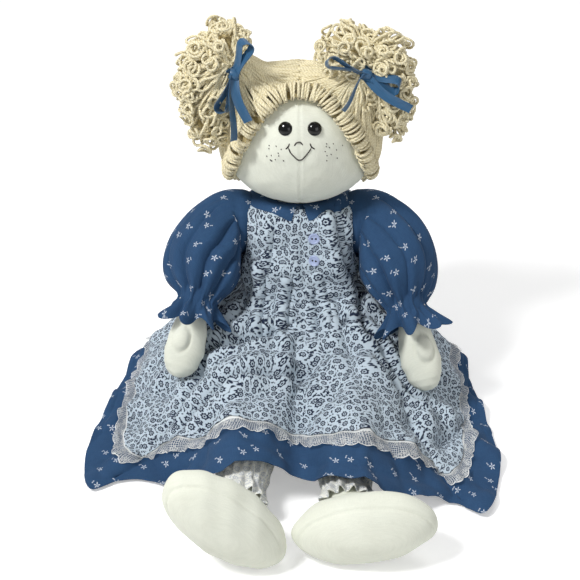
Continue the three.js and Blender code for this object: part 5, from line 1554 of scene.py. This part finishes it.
hairline_shares = np.array([
    [-1, -1], [-0.93, -0.5], [-0.8, -0.02], [-0.66, 0.3], [-0.5, 0.62], [-0.26, 0.93], [0, 1],
    [0.26, 0.93], [0.5, 0.62], [0.66, 0.3], [0.8, -0.02], [0.93, -0.5], [1, -1],
])
FACE_HALF, FACE_RISE, FACE_DROP, NAPE_DROP = 67, 50, 40, 44
TIE_DISTANCE, HAIR_DEPTH, CAP_DEPTH, FRINGE_DEPTH = 105.2, 5.2, 4.6, 3.2
hairline = hairline_shares * np.stack(
    [np.full(13, FACE_HALF), np.where(hairline_shares[:, 1] > 0, FACE_RISE, FACE_DROP)], -1
)
rng = np.random.default_rng(7)
for side, name in HANDS:
    tie, to_tie = tie_at(side)
    line = curve_through([(*p, 0) for p in hairline[6:]], np.linspace(0.0, 1, 84))
    front = away_from_face(unit(face_point(side * line[:, 0], line[:, 1], 5) - HEAD_CENTRE), 13)
    over = np.radians(np.linspace(63, 216, 170))
    parting = np.stack([side * rng.uniform(-0.07, 0.04, 170), -np.cos(over), np.sin(over)], -1)
    back = np.radians(np.linspace(0, 98, 70))
    wide, deep = HEAD_HALVES[:2] * head_share(-NAPE_DROP / HEAD_HALVES[2])
    drop = rng.uniform(-4, 2, 70) - NAPE_DROP
    nape = np.stack([side * wide * np.sin(back), deep * np.cos(back), drop], -1)
    starts = unit(np.concatenate([front, parting, nape]))
    starts = np.concatenate([starts, unit(starts + rng.normal(0, 0.03, starts.shape))])
    many = len(starts)
    t = np.linspace(0, 1, 26)[None, :, None]
    way = unit(between(starts[:, None], to_tie, t))
    sway = unit(np.cross(starts, to_tie))[:, None] * np.sin(np.pi * t) * rng.normal(0, 0.03, (many, 1, 1))
    way = unit(way + sway)
    apart = np.degrees(np.arccos(np.clip((way * to_tie).sum(-1), -1, 1)))
    layer = rng.uniform(0, 3.4, (many, 1))
    layer = layer + 0.6 * np.sin(np.linspace(0, 5, 26) + rng.uniform(0, 6, (many, 1)))
    rise = TIE_DISTANCE - skull(to_tie, HAIR_DEPTH)
    radius = skull(way, HAIR_DEPTH) + layer + rise * np.exp(-apart / 12)
    spread = unit(starts - (starts @ to_tie)[:, None] * to_tie) * rng.uniform(4, 12.5, (many, 1))
    paths = HEAD_CENTRE + way * radius[..., None] + spread[:, None] * smooth_share(t, 0.55, 1)
    paths += 0.4 * np.sin(t * 9 + rng.uniform(0, 6, (many, 1, 3)))
    combed = sweep(f"hair_combed_{name}", paths, YARN, yarn, reference=unit(way))
    assign(combed, "head", "yarn", "hair_cap")

# %% [markdown]
# Under the strands lies a cap of yarn painted darker, as the shade between them, so that no cloth
# shows between them. The fringe is one long strand wound in small loops along the hairline.

# %% Make the cap and the fringe
cap = HEAD_CENTRE + head_rings(np.linspace(-0.62, 0.994, 70), 140, CAP_DEPTH)
mid = grid_faces(70, 140, True)
where = cap.reshape(-1, 3)[mid].mean(1) - HEAD_CENTRE
limit = np.interp(np.abs(where[:, 0]), hairline[6:, 0], hairline[6:, 1])
covered = (where[:, 1] > -8) | (where[:, 2] > limit + 4) | (np.abs(where[:, 0]) > FACE_HALF)
under = surface("hair_under", cap, tube_uv(cap) / [1, 8], painted_shade_yarn, wrap=True, keep=covered)
assign(thicken(under, 2.0), "head", "yarn", "hair_cap")

TURNS = 150
t = np.linspace(0, 1, TURNS * 14)
spots = curve_through([(*p, 0) for p in hairline], t)
out = unit(face_point(spots[:, 0], spots[:, 1], FRINGE_DEPTH) - HEAD_CENTRE)
out = away_from_face(out, 3.5 + 3.5 * smooth_share(spots[:, 1], -25, 25))
middle = HEAD_CENTRE + out * skull(out, FRINGE_DEPTH)[:, None]
tangent = unit(np.gradient(middle, axis=0))
beside = np.cross(tangent, out)
wobble = np.interp(t, np.linspace(0, 1, 2 * TURNS), rng.uniform(-1, 1, 2 * TURNS))
drift = np.interp(t, np.linspace(0, 1, TURNS), rng.normal(0, 1, TURNS))
phase = 2 * np.pi * TURNS * t + 0.7 * wobble
radius = (8.2 + 1.7 * wobble) * (1 - 0.25 * smooth_share(np.abs(t - 0.5), 0.4, 0.5))
loops = middle + beside * (radius * np.cos(phase))[:, None]
loops = loops + out * (radius * 0.8 * np.sin(phase) + 5.5)[:, None]
loops += tangent * (2.8 * drift)[:, None]
fringe = sweep("hair_fringe_loops", loops[None], YARN, yarn, reference=out[None])
assign(fringe, "head", "yarn", "hair_fringe")

# %% [markdown]
# A bunch is a sheaf of loops held by the tie. Each loop is a teardrop that leaves the tie, reaches a
# place on the bunch's outer shape, and comes back a little to one side. Loose spiral curls lie on
# the outside, and balls of yarn painted darker, as the shade deep in the bunch, fill the middle.

# %% Make the bunches
lobe_shares = {
    "left": [[0.2, -0.2, -0.18, 0.44, 0.5, 0.46], [-0.22, -0.2, 0.06, 0.46, 0.46, 0.22],
             [0.28, -0.12, -0.36, 0.34, 0.4, 0.3]],
    "right": [[0.32, -0.2, -0.18, 0.44, 0.5, 0.46], [0.06, -0.2, 0.1, 0.32, 0.42, 0.22],
              [0.3, -0.12, -0.42, 0.36, 0.4, 0.3]],
}
LOOPS_IN_LOBE, CURLS_IN_LOBE = [170, 84, 80], [34, 20, 20]
BUNCH_SIZE = np.array([80, 70, 132])
for side, name in HANDS:
    tie, to_tie = tie_at(side)
    lobes = np.array(lobe_shares[name])
    centres = tie + lobes[:, :3] * BUNCH_SIZE * [side, -1, 1]
    sizes = lobes[:, 3:] * BUNCH_SIZE
    which = np.repeat(np.arange(3), LOOPS_IN_LOBE)
    many = len(which)
    aim = unit(rng.normal(size=(many, 3)))
    aim[:, 1] = -np.abs(aim[:, 1]) * np.where(rng.random(many) < 0.55, 1, -1)
    target = centres[which] + aim * sizes[which] * rng.uniform(0.7, 0.94, (many, 1))
    root = tie + unit(aim - (aim @ to_tie)[:, None] * to_tie) * rng.uniform(1, 9, (many, 1)) + to_tie * 4
    way = target - root
    cross = unit(np.cross(way, rng.normal(size=way.shape)))
    t = np.linspace(0, 1, 40)[None, :, None]
    out = np.sin(np.pi * t) ** 0.85
    belly = np.sin(2 * np.pi * t) * np.clip(0.5 - 0.4 * np.cos(2 * np.pi * t), 0, 1)
    bulge = unit(target - centres[which])[:, None] * np.sin(np.pi * out) * 5
    paths = root[:, None] + way[:, None] * out
    paths = paths + cross[:, None] * belly * rng.uniform(4.5, 9, (many, 1, 1)) + bulge
    paths += 1.2 * np.sin(t * rng.uniform(8, 16, (many, 1, 1)) + rng.uniform(0, 6, (many, 1, 3)))
    # loose curls lie on the outside: spirals of a little over one and a half turns
    which = np.repeat(np.arange(3), CURLS_IN_LOBE)
    many = len(which)
    aim = unit(rng.normal(size=(many, 3)))
    aim[:, 1] = -(np.abs(aim[:, 1]) + 0.5) * np.where(rng.random(many) < 0.75, 1, -1)
    aim = unit(aim)
    first = unit(np.cross(aim, rng.normal(size=aim.shape)))
    spin = 2 * np.pi * 1.6 * t
    wide = rng.uniform(5, 9, (many, 1, 1)) * (0.4 + 0.6 * t)
    seat = centres[which] + aim * sizes[which] * rng.uniform(0.8, 0.9, (many, 1))
    second = np.cross(aim, first)
    curls = seat[:, None] + wide * (np.cos(spin) * first[:, None] + np.sin(spin) * second[:, None])
    curls += aim[:, None] * (5 * np.sin(np.pi * t) ** 0.5 + 1.2 * np.sin(2 * spin))
    bunch = sweep(f"bunch_{name}_loops", np.concatenate([paths, curls]), YARN * 1.12, yarn)
    for k, (centre, size) in enumerate(zip(centres, sizes)):
        core = centre + unit_ball(np.pi * np.linspace(0.02, 0.98, 24), ring_angles(35)) * size * 0.54
        core += 2.5 * ripples(core, 70 + k, 16)[..., None] * unit(core - centre)
        place = tube_uv(core)[..., ::-1] / [1, 9]
        filling = surface(f"bunch_{name}_core_{k}", core, place, painted_shade_yarn, wrap=True, caps=True)
        assign(filling, "bunch_" + name, "yarn")
    assign(bunch, "bunch_" + name, "yarn", "bunch_" + name)

# %% [markdown]
# ## Ties and bows
# Satin ribbon holds each bunch: a band wound round its root, and a bow in front, with two loops and
# two tails. A ribbon is a path with a width direction at each point; the loops come forward, so
# their broad side faces the front.

# %% Satin
def sheen_streak_place(s):
    """Place on a ribbon, squeezed so that the clouds become streaks along it, the satin's painted sheen."""
    return s.vector("MULTIPLY", cloth_place(s), (0.08, 4.0, 1.0))


# Satin ribbon: the dark and light streaks along it are painted sheen.
satin = clouded("satin", linear(18, 54, 88), linear(58, 108, 146), 0.36, 1.0, 3.0, 0.15,
                where=sheen_streak_place, sheen=0.2, gloss=0.5)
RIBBON, BAND_RIBBON, BAND_RADIUS, KNOT_AHEAD = 9, 10, 14.2, 19.55
LOOP_LENGTH, TAIL_LENGTH = 36, 60


def square_to(vectors, along):
    """Directions with their share along other directions taken out."""
    return unit(vectors - (vectors * along).sum(-1, keepdims=True) * along)


def ribbon(name, path, wide, node, width=RIBBON):
    """A strip along a path, `wide` being the unit direction of its width at each point."""
    across = np.linspace(-0.5, 0.5, 9)[None, :, None]
    tangent = unit(np.gradient(path, axis=0))
    normal = np.cross(tangent, wide)
    cup = 0.9 * (1 - (2 * across) ** 2)
    grid = path[:, None] + wide[:, None] * across * width + normal[:, None] * cup
    place = np.stack([lengths(grid, 0), lengths(grid, 1)], -1)
    piece = thicken(surface(name, grid, place, satin), 0.5, 0.0)
    assign(piece, "head", "satin", node)
    cloth_sheet(piece, 0.01)


bow_loops = {"left": [(-0.98, 0.42), (0.86, -0.3)], "right": [(0.36, 0.92), (-0.36, -0.98)]}
bow_tails = {"left": [(0.72, -0.5), (-0.42, -0.5)], "right": [(0.2, -0.72), (-0.06, -1.02)]}
depth = np.array([0, -1.0, 0])
for side, name in HANDS:
    tie, to_tie = tie_at(side)
    u = unit(np.cross(to_tie, [0, 1.0, 0]))
    v = np.cross(u, to_tie)
    turn = np.linspace(0, 2 * np.pi, 73)
    band = tie + BAND_RADIUS * circle(turn, u, v)
    wide = np.broadcast_to(to_tie, band.shape)
    ribbon(f"hair_tie_{name}_band", band, wide, "hair_tie_" + name, BAND_RIBBON)
    knot = tie + (v if v[1] < 0 else -v) * KNOT_AHEAD
    t = np.linspace(0, 1, 48)
    for k, (x, z) in enumerate(bow_loops[name]):
        way = unit(np.array([x, -0.12, z]))
        long = LOOP_LENGTH * math.hypot(x, z)
        beside = unit(np.cross(way, depth))
        swell = np.sin(2 * np.pi * t) * (0.62 - 0.38 * np.cos(2 * np.pi * t))
        path = knot + way * (long * np.sin(np.pi * t) ** 0.8)[:, None] + beside * (7.5 * swell)[:, None]
        path += depth * (2.0 * np.cos(np.pi * t))[:, None]
        wide = square_to(unit(depth * 0.72 + beside * 0.62), unit(np.gradient(path, axis=0)))
        ribbon(f"bow_{name}_loop_{k}", path, wide, "bow_" + name)
    for k, (x, z) in enumerate(bow_tails[name]):
        way = unit(np.array([x, -0.3, z]))
        long = TAIL_LENGTH * math.hypot(x, z)
        beside = unit(np.cross(way, depth))
        path = knot + way * (long * t)[:, None] + depth * (2 + 3 * np.sin(3.2 * t))[:, None]
        path += beside * (2.5 * np.sin(4 * t + k))[:, None]
        spin = (0.35 + (k == 1) * 1.0 - 0.5 * t)[:, None]
        wide = square_to(beside * np.cos(spin) + depth * np.sin(spin), unit(np.gradient(path, axis=0)))
        ribbon(f"bow_{name}_tail_{k}", path, wide, "bow_" + name)
    path = knot + depth * (4.2 * np.sin(turn))[:, None]
    path = path + unit(np.array([0.3, 0, 1])) * (4.6 * np.cos(turn))[:, None]
    wide = np.broadcast_to(unit(np.array([1.0, 0, -0.3])), path.shape)
    ribbon(f"bow_{name}_knot", path, wide, "bow_" + name)

# %% [markdown]
# The size of everything that was made is printed, to compare with the CAD's.

# %% Finish
low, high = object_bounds()
sizes = {"cad": [list(cad_low), list(cad_high)], "made": [list(low), list(high)]}
print("made box in mm:", [round(1000 * v) for v in (*low, *high)])
